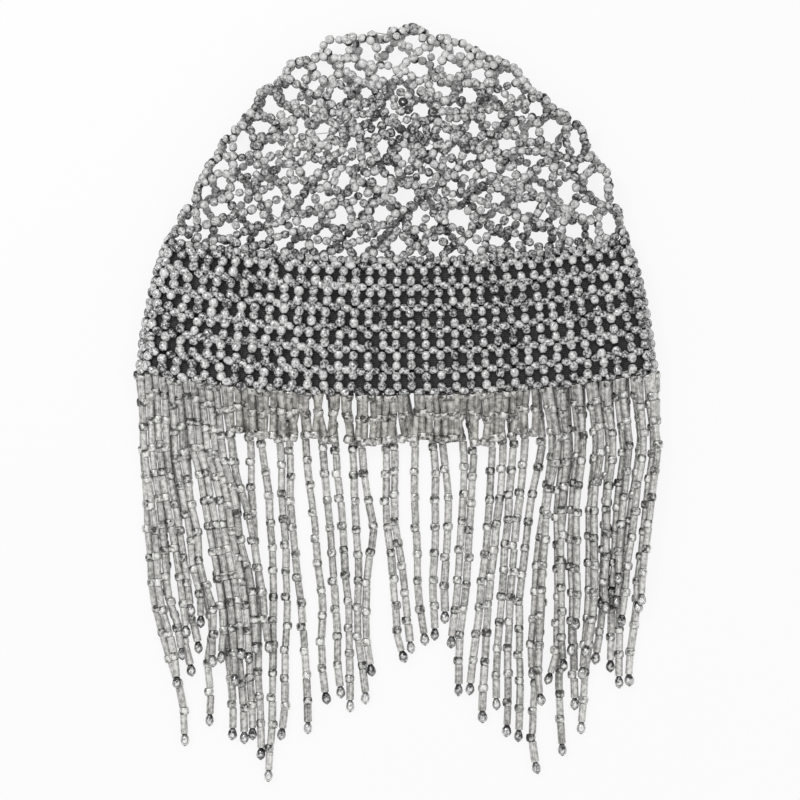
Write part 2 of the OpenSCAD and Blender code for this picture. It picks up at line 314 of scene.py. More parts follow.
@dataclass
class Shell:
    """A mesh of four-sided faces with the values that its materials read.

    Attributes:
        points: Corner places in millimetres.
        quads: Four corner numbers a face.
        look: A corner's bead's tone, its place along the bead from -0.5 to 0.5, and its distance
            from the bead's axis as a share of the widest.
        turn: How far a corner lies to the right of its bead's axis and how high over it, -1 to 1.
        finish: A material number a face.
    """

    points: Array
    quads: Array
    look: Array
    turn: Array
    finish: Array

    @staticmethod
    def joined(shells: list[Shell]) -> Shell:
        """One shell of many: corner numbers move up by the corners of the shells before.

        Args:
            shells: The shells, in order.

        Returns:
            The shell of all their faces.
        """
        starts = np.cumsum([0] + [len(s.points) for s in shells[:-1]])
        moved = [replace(s, quads=s.quads + n) for s, n in zip(shells, starts)]
        return Shell(*(np.concatenate([getattr(s, f.name) for s in moved]) for f in fields(Shell)))

    def to_object(self, name: str, materials: list[Material]) -> Object:
        """Puts the shell into a new mesh object, in metres.

        Args:
            name: The piece's name.
            materials: Its materials, in the order of the face numbers.

        Returns:
            The object, at the origin.
        """
        mesh = bpy.data.meshes.new(name)
        count = len(self.quads)
        mesh.vertices.add(len(self.points))
        mesh.loops.add(count * 4)
        mesh.polygons.add(count)
        for data, label, values, kind in (
            (mesh.vertices, "co", self.points * MM, np.float32),
            (mesh.loops, "vertex_index", self.quads, np.int32),
            (mesh.polygons, "loop_start", np.arange(0, count * 4, 4), np.int32),
            (mesh.polygons, "material_index", self.finish, np.int32),
            (mesh.polygons, "use_smooth", np.ones(count), bool),
        ):
            data.foreach_set(label, values.astype(kind).ravel())
        for label, kind, values in (("look", "FLOAT_VECTOR", self.look), ("turn", "FLOAT2", self.turn)):
            layer = mesh.attributes.new(label, kind, "POINT")
            layer.data.foreach_set("vector", values.astype(np.float32).ravel())
        for material in materials:
            mesh.materials.append(material)
        mesh.update()
        mesh.validate()
        return linked(name, mesh)


@dataclass(frozen=True)
class BeadForm:
    """A bead's outline, turned round its thread.

    Attributes:
        outline: Rows of place along the bead and distance from its axis, each as a share of its
            length and width, from one mouth of the hole to the other. The hole's wall joins the ends.
        sides: Faces round the bead.
    """

    outline: Table
    sides: int = 8

    def turned(self) -> tuple[Array, Array]:
        """Turns the outline: the point (x, r) goes to (x, r cos t, r sin t).

        Returns:
            Corner places in the bead's own measure, and faces that close on the hole's wall.
        """
        rows = np.array(self.outline)
        t = angles(self.sides)
        x = np.repeat(rows[:, 0], self.sides)
        y = (rows[:, 1:] * np.cos(t)).ravel()
        z = (rows[:, 1:] * np.sin(t)).ravel()
        return np.stack([x, y, z], -1), grid_faces(len(rows), self.sides)[:, ::-1]


ROUND_BEAD = BeadForm(((-0.49, 0.17), (-0.42, 0.35), (-0.16, 0.49), (0.16, 0.49), (0.42, 0.35), (0.49, 0.17)))
LONG_BEAD = BeadForm(((-0.5, 0.44), (-0.49, 0.48), (-0.45, 0.5), (0.45, 0.5), (0.49, 0.48), (0.5, 0.44)))
SHORT_BEAD = BeadForm(
    ((-0.5, 0.39), (-0.45, 0.43), (-0.25, 0.48), (0, 0.5), (0.25, 0.48), (0.45, 0.43), (0.5, 0.39))
)
DROP_BEAD = BeadForm(
    ((-0.5, 0.12), (-0.47, 0.26), (-0.2, 0.43), (0.08, 0.5), (0.3, 0.38), (0.46, 0.12), (0.5, 0.03)), 6
)


@dataclass
class Beads:
    """Many beads of one form.

    Attributes:
        centre: Middles in millimetres.
        axis: Directions of the thread.
        up: Directions away from the cap.
        length: Lengths along the thread.
        width: Widths across it.
        tone: Each bead's own tone from 0, dark, to 1, pale.
    """

    centre: Array
    axis: Array
    up: Array
    length: Array
    width: Array
    tone: Array

    def shell(self, form: BeadForm, finish: int) -> Shell:
        """Copies the form to each bead: centre + x length axis + y width side + z width up.

        A bead that would reach into the table is lifted until it clears it.

        Args:
            form: The bead's form.
            finish: The material number.

        Returns:
            One shell of all the beads.
        """
        axis = unit(self.axis)
        side = unit(np.cross(self.up, axis))
        up = np.cross(axis, side)
        corners, quads = form.turned()
        count, per = len(self.centre), len(corners)
        along = corners[None, :, :1] * (self.length[:, None, None] * axis[:, None])
        across = corners[None, :, 1:2] * (self.width[:, None, None] * side[:, None])
        high = corners[None, :, 2:] * (self.width[:, None, None] * up[:, None])
        places = self.centre[:, None] + (along + across + high)
        places[..., 2] += np.maximum(0, CLEAR - places[..., 2].min(1))[:, None]
        reach = np.hypot(corners[:, 1], corners[:, 2]) * 2
        look = [np.repeat(self.tone, per), np.tile(corners[:, 0], count), np.tile(reach, count)]
        level = np.sqrt(np.maximum(1 - axis[:, 2] ** 2, 0.04))
        lift = (across + high)[..., 2] / (0.5 * self.width * level)[:, None]
        return Shell(
            places.reshape(-1, 3),
            (quads[None] + (np.arange(count) * per)[:, None, None]).reshape(-1, 4),
            np.stack(look, -1),
            np.stack([np.tile(corners[:, 1] * 2, count), lift.ravel()], -1),
            np.full(count * len(quads), finish),
        )


def along_lines(lines: Array, lengths: Array, at: Array) -> Array:
    """Points at given distances along many lines: straight between the stations round each.

    Args:
        lines: Stations of each line, shaped lines, stations, 3.
        lengths: Distance of each station from its line's start, shaped lines, stations.
        at: Wanted distances, shaped lines, wanted.

    Returns:
        Points shaped lines, wanted, 3.
    """
    stretch = (lengths[:, None, :] <= at[:, :, None]).sum(-1) - 1
    stretch = np.clip(stretch, 0, lines.shape[1] - 2)
    low = np.take_along_axis(lengths, stretch, 1)
    high = np.take_along_axis(lengths, stretch + 1, 1)
    t = (at - low) / np.maximum(high - low, 1e-9)
    start = np.take_along_axis(lines, stretch[..., None], 1)
    end = np.take_along_axis(lines, stretch[..., None] + 1, 1)
    return start + (end - start) * t[..., None]


def run_lengths(lines: Array) -> Array:
    """Distance of each station from its line's start: the running sum of the steps before it."""
    steps = np.linalg.norm(np.diff(lines, axis=1), axis=-1)
    return np.concatenate([np.zeros((len(lines), 1)), np.cumsum(steps, 1)], 1)


def threads(lines: Array, radius: float, finish: int) -> Shell:
    """A thin four-sided tube along each line: station + r (cos t side + sin t up).

    Args:
        lines: Stations of each line, shaped lines, stations, 3.
        radius: The thread's radius.
        finish: The material number.

    Returns:
        One shell, with a small cap of one face at each end.
    """
    sides = 4
    ahead = unit(np.gradient(lines, axis=1))
    side = unit(np.cross(ahead, np.array([0.0, 0.0, 1.0]) + 1e-6))
    up = np.cross(side, ahead)
    t = angles(sides)
    ring = np.cos(t)[:, None] * side[:, :, None] + np.sin(t)[:, None] * up[:, :, None]
    points = lines[:, :, None] + radius * ring
    count, rows = lines.shape[:2]
    start = (np.arange(count) * rows * sides)[:, None]
    walls = (start[..., None] + grid_faces(rows, sides)[:-sides]).reshape(-1, 4)
    ends = np.arange(sides)
    quads = np.concatenate([walls, start + ends[::-1], start + (rows - 1) * sides + ends])
    total = points.size // 3
    look = np.tile([0.5, 0.0, 1.0], (total, 1))
    return Shell(points.reshape(-1, 3), quads, look, np.ones((total, 2)), np.full(len(quads), finish))


class Nodes:
    """Short ways to add and join shader nodes in one tree."""

    def __init__(self, tree: Tree) -> None:
        """Keeps the tree that nodes are added to."""
        self.tree = tree

    def put(self, target: Socket, value: object) -> None:
        """Joins a socket to another one, or sets its number or its colour.

        Args:
            target: The socket.
            value: Another socket, a number, or a colour's three values.
        """
        if isinstance(value, Socket):
            self.tree.links.new(value, target)
        else:
            target.default_value = (*value, 1.0) if isinstance(value, tuple) else value

    def fill(self, node: Node, values: dict[str, object]) -> None:
        """Joins or sets a node's inputs by their names."""
        for name, value in values.items():
            self.put(node.inputs[name], value)

    def add(self, kind: str, inputs: dict[str, object] | None = None, **values: object) -> Node:
        """Adds a node.

        Args:
            kind: The node's type name.
            inputs: What its inputs are joined to or set to, by their names.
            **values: Property names and values.

        Returns:
            The node.
        """
        node = self.tree.nodes.new(kind)
        for name, value in values.items():
            setattr(node, name, value)
        self.fill(node, inputs or {})
        return node

    def math(self, operation: str, *inputs: Socket | float, clamp: bool = False) -> Socket:
        """A Math node over sockets and numbers.

        Args:
            operation: The node's operation.
            *inputs: Sockets or numbers, in order.
            clamp: Whether the result is held between 0 and 1.

        Returns:
            The result's socket.
        """
        node = self.add("ShaderNodeMath", operation=operation, use_clamp=clamp)
        for target, value in zip(node.inputs, inputs):
            self.put(target, value)
        return node.outputs[0]

    def remap(
        self, value: Socket, low: object, high: object, to_low: float = 0.0, to_high: float = 1.0
    ) -> Socket:
        """A smooth Map Range of value from low..high, sockets or numbers, to to_low..to_high."""
        ends = {"Value": value, "From Min": low, "From Max": high, "To Min": to_low, "To Max": to_high}
        return self.add("ShaderNodeMapRange", ends, interpolation_type="SMOOTHSTEP").outputs["Result"]

    def blend(self, share: Socket, a: object, b: object) -> Socket:
        """A Mix node over colours.

        Args:
            share: How much of b is mixed in.
            a: A socket or a colour.
            b: A socket or a colour.

        Returns:
            The result's colour socket.
        """
        node = self.add("ShaderNodeMix", data_type="RGBA")
        for name, value in (("Factor", share), ("A", a), ("B", b)):
            self.put(next(s for s in node.inputs if s.name == name and s.enabled), value)
        return next(s for s in node.outputs if s.enabled)

    def parts(self, vector: Socket) -> list[Socket]:
        """The three parts of a vector."""
        return list(self.add("ShaderNodeSeparateXYZ", {"Vector": vector}).outputs)

    def noise(self, scale: object, detail: float = 2.0, roughness: float = 0.5) -> Socket:
        """Noise over the piece's own Object coordinates.

        Args:
            scale: Specks to a metre, a socket or a number.
            detail: Octaves.
            roughness: Share of the finer octaves.

        Returns:
            The noise's socket.
        """
        place = self.add("ShaderNodeTexCoord").outputs["Object"]
        inputs = {"Vector": place, "Scale": scale, "Detail": detail, "Roughness": roughness}
        return self.add("ShaderNodeTexNoise", inputs).outputs["Fac"]


def new_group(name: str, inputs: dict[str, str], outputs: dict[str, str]) -> Tree:
    """An empty shader group with named sockets.

    Args:
        name: The group's name.
        inputs: The type of each input.
        outputs: The type of each output.

    Returns:
        The group, holding its input and output nodes.
    """
    tree = bpy.data.node_groups.new(name, "ShaderNodeTree")
    for way, sockets in (("INPUT", inputs), ("OUTPUT", outputs)):
        for label, kind in sockets.items():
            tree.interface.new_socket(name=label, in_out=way, socket_type=kind)
        tree.nodes.new(f"NodeGroup{way.title()}")
    return tree


def bead_body_group() -> Tree:
    """The look of a silver-lined bead, for each glass that the cap is made of.

    A bead is painted pale where it faces up, and painted dark round its outline and in the mouths of its
    hole: painted light on its face and painted shade at its edges and in the hole. Its own tone and a
    fine mottle, the silver showing through the glass with painted glints and dark refractions, move its
    body between two colours. Streaks along the thread show on long beads, and a round bead of the
    fringe is darker in the half that is nearer the band and paler in the other half: painted shade and a
    painted highlight. Slant darkens a bead's left side with painted shade.

    Returns:
        The group, with a colour, a roughness and a height.
    """
    numbers = ("Outline", "Outline Width", "Mottle", "Grain", "Streak", "Split", "Slant", "Roughness")
    inputs = {"Deep": COLOUR, "Pale": COLOUR, **dict.fromkeys(numbers, NUMBER)}
    tree = new_group("silvered_bead", inputs, {"Color": COLOUR, "Roughness": NUMBER, "Height": NUMBER})
    n = Nodes(tree)
    given = tree.nodes["Group Input"].outputs
    tone, along, reach = n.parts(n.add("ShaderNodeAttribute", attribute_name="look").outputs["Vector"])
    right, lift, _ = n.parts(n.add("ShaderNodeAttribute", attribute_name="turn").outputs["Vector"])
    speck = n.noise(given["Grain"], 2.0, 0.6)
    cloud = n.remap(speck, 0.36, 0.64, -1.0, 1.0)
    # Painted shade round the outline: a bead darkens towards its sides, as the edges of lit glass do.
    rim_low = n.math("MULTIPLY", given["Outline Width"], 0.65)
    body = n.remap(n.math("ABSOLUTE", lift), rim_low, given["Outline Width"])
    outline = n.math("MULTIPLY", n.math("SUBTRACT", 1.0, body), given["Outline"])
    # Painted shade in the mouths of the hole.
    hole = n.math("MULTIPLY", n.remap(reach, 0.55, 0.3), 0.9)
    across = n.math("MULTIPLY_ADD", right, 3.2, n.math("MULTIPLY", tone, 97.0))
    lines = n.add("ShaderNodeTexNoise", noise_dimensions="1D")
    n.fill(lines, {"W": across, "Scale": 1.0, "Detail": 1.0})
    streak = n.math("MULTIPLY", n.remap(lines.outputs["Fac"], 0.35, 0.65, -1.0, 1.0), given["Streak"])
    # The mottle: uneven silvering, with painted glints and dark refractions in the glass.
    mixed = n.math("ADD", n.math("MULTIPLY", cloud, n.math("MULTIPLY", given["Mottle"], 0.5)), tone)
    mixed = n.math("ADD", mixed, streak)
    # Painted shade on the half nearer the band and a painted highlight on the other half.
    mixed = n.math("ADD", mixed, n.math("MULTIPLY", n.remap(along, -0.28, 0.12, -1.0, 0.7), given["Split"]))
    # Painted shade on the bead's left side.
    mixed = n.math("SUBTRACT", mixed, n.math("MULTIPLY", n.remap(right, -0.9, 0.5, 1.0, 0.0), given["Slant"]))
    mixed = n.math("MULTIPLY", mixed, n.math("SUBTRACT", 1.0, outline))
    mixed = n.math("MULTIPLY", mixed, n.math("SUBTRACT", 1.0, hole), clamp=True)
    n.fill(tree.nodes["Group Output"], {
        "Color": n.blend(mixed, given["Deep"], given["Pale"]),
        "Roughness": n.math("MULTIPLY_ADD", n.math("SUBTRACT", 1.0, mixed), 0.15, given["Roughness"]),
        "Height": n.math("ADD", speck, n.math("MULTIPLY", along, 0.3)),
    })
    return tree


def blank_material(name: str) -> tuple[Material, Nodes, Node]:
    """A new material.

    Args:
        name: Its name.

    Returns:
        The material, its nodes and its shader.
    """
    material = bpy.data.materials.new(name)
    material.use_nodes = True
    return material, Nodes(material.node_tree), material.node_tree.nodes["Principled BSDF"]


@dataclass(frozen=True)
class SilveredGlass:
    """Clear glass over a silvered hole.

    Attributes:
        name: The material's name.
        deep: Colour of the painted shade round the outline and in the mouths of the hole, and of the dark
            specks.
        pale: Colour of the bright body.
        outline: How dark the painted shade round the outline goes.
        outline_width: How far up a bead's side that painted shade reaches.
        mottle: Strength of the specks: uneven silvering, with painted glints and dark refractions.
        grain: Specks to a metre.
        streak: Strength of the line along a long bead.
        split: How much darker the half nearer the band is, and paler the other half: painted shade and a
            painted highlight.
        slant: How much darker the left side is, as painted shade.
        roughness: Roughness of the pale body.
        metallic: How much the silver shows.
        coat: Weight of the glass's clear surface.
        bump: Depth of the uneven surface in metres.
    """

    name: str
    deep: Rgb = (0.03, 0.03, 0.031)
    pale: Rgb = (0.86, 0.86, 0.855)
    outline: float = 0.85
    outline_width: float = 0.62
    mottle: float = 0.55
    grain: float = 700.0
    streak: float = 0.0
    split: float = 0.0
    slant: float = 0.0
    roughness: float = 0.22
    metallic: float = 0.8
    coat: float = 0.4
    bump: float = 0.00012

    def material(self, group: Tree) -> Material:
        """Builds the material round the shared bead group, whose inputs have this class's names.

        Args:
            group: The silvered bead group.

        Returns:
            The material.
        """
        material, n, shader = blank_material(self.name)
        bead = n.add("ShaderNodeGroup", node_tree=group)
        n.fill(bead, {s.name: getattr(self, s.name.lower().replace(" ", "_")) for s in bead.inputs})
        uneven = {"Strength": 0.8, "Distance": self.bump, "Height": bead.outputs["Height"]}
        n.fill(shader, {
            "Base Color": bead.outputs["Color"], "Roughness": bead.outputs["Roughness"],
            "Normal": n.add("ShaderNodeBump", uneven).outputs["Normal"], "Metallic": self.metallic,
            "Coat Weight": self.coat, "Coat Roughness": 0.06, "IOR": 1.52,
        })
        return material


@dataclass(frozen=True)
class RibbedElastic:
    """Dark elastic cloth with fine ribs round the head.

    Attributes:
        name: The material's name.
        dark: Colour in the grooves: painted shade.
        light: Colour on the ribs.
        ribs: Ribs to a metre of height.
        stitches: Loops to a metre round the head.
    """

    name: str = "dark_elastic_cloth"
    dark: Rgb = (0.042, 0.042, 0.043)
    light: Rgb = (0.12, 0.12, 0.122)
    ribs: float = 1050.0
    stitches: float = 1400.0

    def material(self) -> Material:
        """Builds the cloth: two crossed sine waves over the flat cut, with faint lint; the colour is painted
        darker in the grooves, as shade.

        Returns:
            The material.
        """
        material, n, shader = blank_material(self.name)
        flat_x, flat_y, _ = n.parts(n.add("ShaderNodeUVMap", uv_map="flat").outputs["UV"])
        rib = n.math("SINE", n.math("MULTIPLY", flat_y, self.ribs * 2 * np.pi))
        loop = n.math("SINE", n.math("MULTIPLY", flat_x, self.stitches * 2 * np.pi))
        weave = n.math("MULTIPLY_ADD", rib, 0.35, n.math("MULTIPLY_ADD", loop, 0.15, 0.5), clamp=True)
        lint = n.remap(n.noise(260.0, 4.0), 0.3, 0.7, 0.5, 1.2)
        bump = n.add("ShaderNodeBump", {"Distance": 0.0003, "Height": weave})
        n.fill(shader, {
            # Painted shade: the colour follows the weave, darker in the grooves.
            "Base Color": n.blend(n.math("MULTIPLY", weave, lint, clamp=True), self.dark, self.light),
            "Roughness": n.remap(weave, 0.0, 1.0, 0.95, 0.75),
            "Normal": bump.outputs["Normal"], "Sheen Weight": 0.15,
        })
        return material


@dataclass(frozen=True)
class WaxedThread:
    """The thread that the beads are strung on, with the colour that it has where it is soiled."""

    name: str = "bead_thread"
    colour: Rgb = (0.42, 0.41, 0.39)
    soiled: Rgb = (0.2, 0.195, 0.18)

    def material(self) -> Material:
        """Builds the thread: a soft cloudy soiling over a matt colour.

        Returns:
            The material.
        """
        material, n, shader = blank_material(self.name)
        cloud = n.noise(400.0)
        colour = n.blend(cloud, self.soiled, self.colour)
        n.fill(shader, {"Base Color": colour, "Roughness": n.remap(cloud, 0.0, 1.0, 0.6, 0.85)})
        return material


@dataclass
class CrownNet:
    """The openwork crown: strings of round beads in diamonds that close in a ring.

    Attributes:
        cap: The cap's surface.
        columns: Diamonds round the cap at the band.
        levels: Steps from the band to the closing ring.
        joining: The level above which every two strings go on as one.
        bead_w: Width of a bead.
        pitch: Distance along the string from one bead to the next.
        edging: Beads in the row along the band that the net grows from.
        thread_r: Radius of the thread.
        rosette: Beads in the closing ring, and the ring's radius.
        loose: How far a knot lies off the even net, and the shares of it that a knot at the closing
            ring does and that heights take.
        tilt: How far a bead turns off its string, as a deviation.
        off: How far it lies off its place, as a deviation.
        widths: Smallest and largest bead, as shares of the width.
        lengths: Its shortest and longest length, as shares of its own width.
        edge_width: Width of the beads along the band, as a share of the others'.
        tone: Middle and deviation of the beads' tones.
        front_z: Height that the front layer's beads lie over.
        seed: Start of the random draws.
        odd_beads: Beads unlike the rest: place across, above the rim, size in widths, and tone.
        dull_spot: The close, dark part of the crown: place across, above the rim, reach and tone.
        top_light: How much paler the beads at the top are, and between which heights that grows.
        foot_dull: How much darker those at the foot are, and between which heights that fades.
        open_by: How far off an opening's border the strings round it lie.
        lean: How far a string leans to its side of an opening, as a share of its reach.
        openings: The larger openings through both layers, as read in the photo: place across,
            height, half the width and half the height, in its pixels.
    """

    cap: FlatCap
    columns: int = 24
    levels: int = 14
    joining: int = 12
    bead_w: float = 4.25
    pitch: float = 3.9
    edging: int = 120
    thread_r: float = 0.22
    rosette: tuple[int, float] = (7, 4.1)
    loose: tuple[float, float, float] = (1.5, 0.35, 0.5)
    tilt: float = 0.16
    off: float = 0.22
    widths: tuple[float, float] = (0.88, 1.06)
    lengths: tuple[float, float] = (0.93, 1.04)
    edge_width: float = 0.92
    tone: tuple[float, float] = (0.64, 0.21)
    front_z: float = 8.0
    seed: int = 3
    odd_beads: Table = (
        (15.2, 129.1, 1.3, 0.05), (37.8, 134.6, 1.0, 0.05), (31.3, 112.5, 1.2, 0.05),
        (40.1, 97.3, 1.1, 0.05), (9.7, 169.7, 1.4, 0.5), (-58.0, 101.0, 1.0, 0.1),
        (62.0, 90.0, 1.1, 0.1), (-21.0, 93.0, 1.0, 0.1),
    )
    dull_spot: tuple[float, float, float, float] = (-2.3, 124.5, 15.0, 0.3)
    top_light: tuple[float, float, float] = (0.4, 140, 160)
    foot_dull: tuple[float, float, float] = (0.08, 76, 88)
    open_by: float = 1.6
    lean: float = 0.5
    openings: Table = (
        (381, 32, 7, 4), (335, 46, 9, 4), (439, 49, 7, 4), (367, 56, 8, 7), (399, 54, 10, 5),
        (419, 69, 11, 6), (326, 70, 8, 8), (299, 72, 8, 6), (454, 70, 7, 6), (382, 74, 10, 4),
        (479, 77, 7, 8), (507, 76, 8, 5), (312, 86, 5, 5), (400, 90, 7, 7), (446, 91, 6, 7),
        (291, 96, 7, 5), (337, 97, 5, 8), (367, 94, 5, 5), (471, 96, 6, 9), (269, 104, 6, 11),
        (389, 105, 4, 7), (539, 109, 5, 9), (424, 110, 6, 9), (301, 124, 4, 7), (266, 126, 6, 5),
        (322, 134, 7, 12), (474, 130, 5, 9), (532, 132, 4, 7), (551, 137, 5, 9), (446, 139, 5, 6),
        (244, 142, 6, 12), (575, 140, 6, 11), (352, 144, 5, 6), (384, 149, 5, 9), (504, 147, 6, 5),
        (265, 151, 4, 8), (457, 150, 5, 6), (304, 155, 5, 6), (405, 155, 5, 6), (472, 157, 5, 5),
        (310, 170, 6, 8), (284, 172, 4, 6), (391, 170, 4, 7), (490, 167, 5, 6), (522, 169, 6, 6),
        (546, 172, 4, 6), (345, 179, 6, 6), (221, 182, 5, 7), (596, 182, 8, 10), (264, 185, 4, 5),
        (384, 184, 5, 4), (452, 186, 6, 6), (539, 190, 6, 4), (295, 195, 5, 6), (410, 195, 5, 6),
        (565, 196, 7, 10), (269, 199, 5, 6), (332, 199, 6, 5), (500, 197, 7, 4), (532, 206, 6, 6),
        (586, 209, 4, 6), (305, 207, 5, 5), (276, 212, 5, 8), (341, 212, 6, 7), (456, 215, 9, 7),
        (380, 216, 7, 7), (312, 221, 5, 7), (416, 222, 5, 6), (609, 225, 8, 11), (225, 230, 8, 6),
        (575, 230, 9, 9), (327, 235, 6, 5), (260, 236, 7, 6), (540, 237, 10, 7), (497, 241, 8, 6),
        (300, 245, 6, 5),
    )

    def knots(self) -> tuple[Array, Array, Array]:
        """Bearings and shares of all knots: every other level is turned by half a diamond.

        Returns:
            Bearings, shares of the way up, and levels.
        """
        step = 360 / self.columns
        wide = [(np.arange(self.columns) + (k % 2) / 2) * step for k in range(self.joining + 1)]
        shift = 0.5 + (self.joining % 2) / 2
        half = np.arange(self.columns // 2) * 2
        narrow = [(half + shift + (k % 2)) * step for k in range(self.levels - self.joining)]
        level = np.repeat(np.arange(self.levels + 1), [len(a) for a in wide + narrow])
        u = np.concatenate(wide + narrow)
        return u, self.cap.level_share(u % 360, level, self.levels), level

    def strings(self) -> Array:
        """Pairs of knots that a string joins: each knot and its two neighbours a level up.

        Returns:
            Rows of two knot numbers.
        """
        n, m, j = self.columns, self.columns // 2, self.joining
        pairs = []
        for level in range(self.levels):
            count, start = (n, level * n) if level <= j else (m, (j + 1) * n + (level - j - 1) * m)
            i = np.arange(count)
            above = (level + 1) * n if level < j else (j + 1) * n + (level - j) * m
            if level == j:
                pairs.append(np.stack([start + i, above + i // 2], -1))
                continue
            turn = level % 2 if level < j else (level - j - 1) % 2
            size = n if level < j else m
            pairs += [np.stack([start + i, above + (i + turn - back) % size], -1) for back in (0, 1)]
        return np.concatenate(pairs)

    def moved_aside(self, at: Array) -> Array:
        """Moves strings out of the openings.

        With r the distance from an opening's middle over its reach that way, r becomes the sixth
        root of (r to the sixth + 1), so the points inside come to its border in their order. Between
        its ends, a string first leans to the side on which it passes the middle, by exp(-4 r r).

        Args:
            at: Points shaped strings, stations, 3.

        Returns:
            Points of the same shape.
        """
        at = at.copy()
        lean = self.lean * np.sqrt(np.sin(np.pi * np.linspace(0, 0.9999, at.shape[1])))[:, None]
        for x, y, half_w, half_h in self.openings:
            middle = (np.array([x, y]) - PHOTO_MID) * (PHOTO_MM, -PHOTO_MM) + (0, self.cap.lie_y)
            reach = np.array([half_w, half_h]) * PHOTO_MM + self.open_by
            off = (at[..., :2] - middle) / reach
            r = np.linalg.norm(off, axis=-1, keepdims=True)
            near = unit(np.take_along_axis(off, r.argmin(1, keepdims=True), 1))
            off = off + lean * near * np.exp(-4 * r**2)
            r = np.maximum(np.linalg.norm(off, axis=-1, keepdims=True), 1e-3)
            at[..., :2] = middle + off * reach * (r**6 + 1) ** (1 / 6) / r
        return at

    def lines(self, stations: int = 17) -> tuple[Array, Array]:
        """The strings' routes over the crown.

        A string runs straight in bearing and share between its knots, and is moved by its knots'
        own looseness, (1 - t) of the one and t of the other.

        Args:
            stations: Points along a string.

        Returns:
            Routes shaped strings, stations, 3, and the knots' places.
        """
        rng = np.random.default_rng(self.seed)
        u, f, level = self.knots()
        most, at_ring, in_height = self.loose
        firm = np.where(level == 0, 0.0, np.where(level == self.levels, at_ring, 1.0))
        loose = most * rng.uniform(-1, 1, (len(u), 3)) * firm[:, None]
        loose[:, 2] *= in_height
        a, b = self.strings().T
        turn = (u[b] - 360 * np.round((u[b] - u[a]) / 360)) - u[a]
        t = np.linspace(0, 1, stations)
        route = self.cap.crown_at(
            (u[a][:, None] + turn[:, None] * t) % 360, f[a][:, None] + (f[b] - f[a])[:, None] * t
        )
        route = route + loose[a][:, None] * (1 - t)[:, None] + loose[b][:, None] * t[:, None]
        knots = self.cap.crown_at(u % 360, f) + loose
        return self.moved_aside(route), self.moved_aside(knots[:, None])[:, 0]

    def toned(self, centre: Array, tone: Array) -> Array:
        """Makes the beads at the top paler, and those at the foot and in the dull spot darker.

        Args:
            centre: The beads' middles.
            tone: Their own tones.

        Returns:
            Their tones in the net.
        """
        (x, above, reach, dull), (pale, *top), (dark, *foot) = self.dull_spot, self.top_light, self.foot_dull
        near = np.hypot(centre[:, 0] - x, centre[:, 1] - self.cap.lie_y - above) / reach
        tone = tone + pale * np.interp(centre[:, 1], top, (0, 1)) - dull * np.exp(-(near**2))
        return tone - dark * np.interp(centre[:, 1], foot, (1, 0))

    def beads(self) -> Beads:
        """Beads strung along the routes, one on each knot, the rosette and the row along the band.

        Returns:
            All beads of the net.
        """
        rng = np.random.default_rng(self.seed + 1)
        route, knots = self.lines()
        lengths = run_lengths(route)
        total = lengths[:, -1]
        count = np.maximum(np.round(total / self.pitch).astype(int) - 1, 0)
        slots = np.arange(count.max())
        at = (slots[None] + 1) / (count[:, None] + 1) * total[:, None]
        used = slots[None] < count[:, None]
        strung = along_lines(route, lengths, at)[used]
        ahead = (along_lines(route, lengths, at + 0.5) - along_lines(route, lengths, at - 0.5))[used]
        ring = knots[-self.columns // 2:].mean(0)
        petals, ring_r = self.rosette
        turn = np.arange(petals) * 2 * np.pi / petals
        rosette = ring + ring_r * np.stack([np.cos(turn), np.sin(turn), 0 * turn], -1)
        edge_u = np.arange(self.edging) * 360 / self.edging
        edge = self.cap.crown_at(edge_u, 0)
        inner = knots[self.columns:]
        centre = np.concatenate([strung, inner, rosette, ring[None], edge])
        round_way = np.concatenate([
            ahead, rng.normal(size=(len(inner), 3)) * (1, 1, 0.3),
            np.stack([-np.sin(turn), np.cos(turn), 0 * turn], -1), [[0.0, 0.3, 1.0]],
            self.cap.crown_at((edge_u + 0.5) % 360, 0) - edge,
        ])
        axis = unit(unit(round_way) + rng.normal(0, self.tilt, centre.shape))
        centre = centre + rng.normal(0, self.off, centre.shape)
        width = self.bead_w * rng.uniform(*self.widths, len(centre))
        width[-self.edging:] *= self.edge_width
        tone = self.toned(centre, np.clip(rng.normal(*self.tone, len(centre)), *TONES))
        under = np.where(centre[:, 2] < self.front_z, np.inf, 0)
        for x, above, size, shade in self.odd_beads:
            odd = np.argmin(np.hypot(centre[:, 0] - x, centre[:, 1] - self.cap.lie_y - above) + under)
            width[odd] *= size
            tone[odd] = shade
        up = np.tile([0.0, 0.02, 1.0], (len(centre), 1))
        return Beads(centre, axis, up, width * rng.uniform(*self.lengths, len(centre)), width, tone)

    def build(self, glass: Material, thread: Material) -> list[Object]:
        """Makes the net's beads and its thread.

        Args:
            glass: Material of the beads.
            thread: Material of the thread.

        Returns:
            The pieces.
        """
        beads = self.beads()
        shell = Shell.joined([beads.shell(ROUND_BEAD, 0), threads(self.lines(7)[0], self.thread_r, 1)])
        piece = shell.to_object("crown_net_beads", [glass, thread])
        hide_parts(Part.NET.value)
        LOG.info("crown net: %d beads", len(beads.centre))
        return [piece]


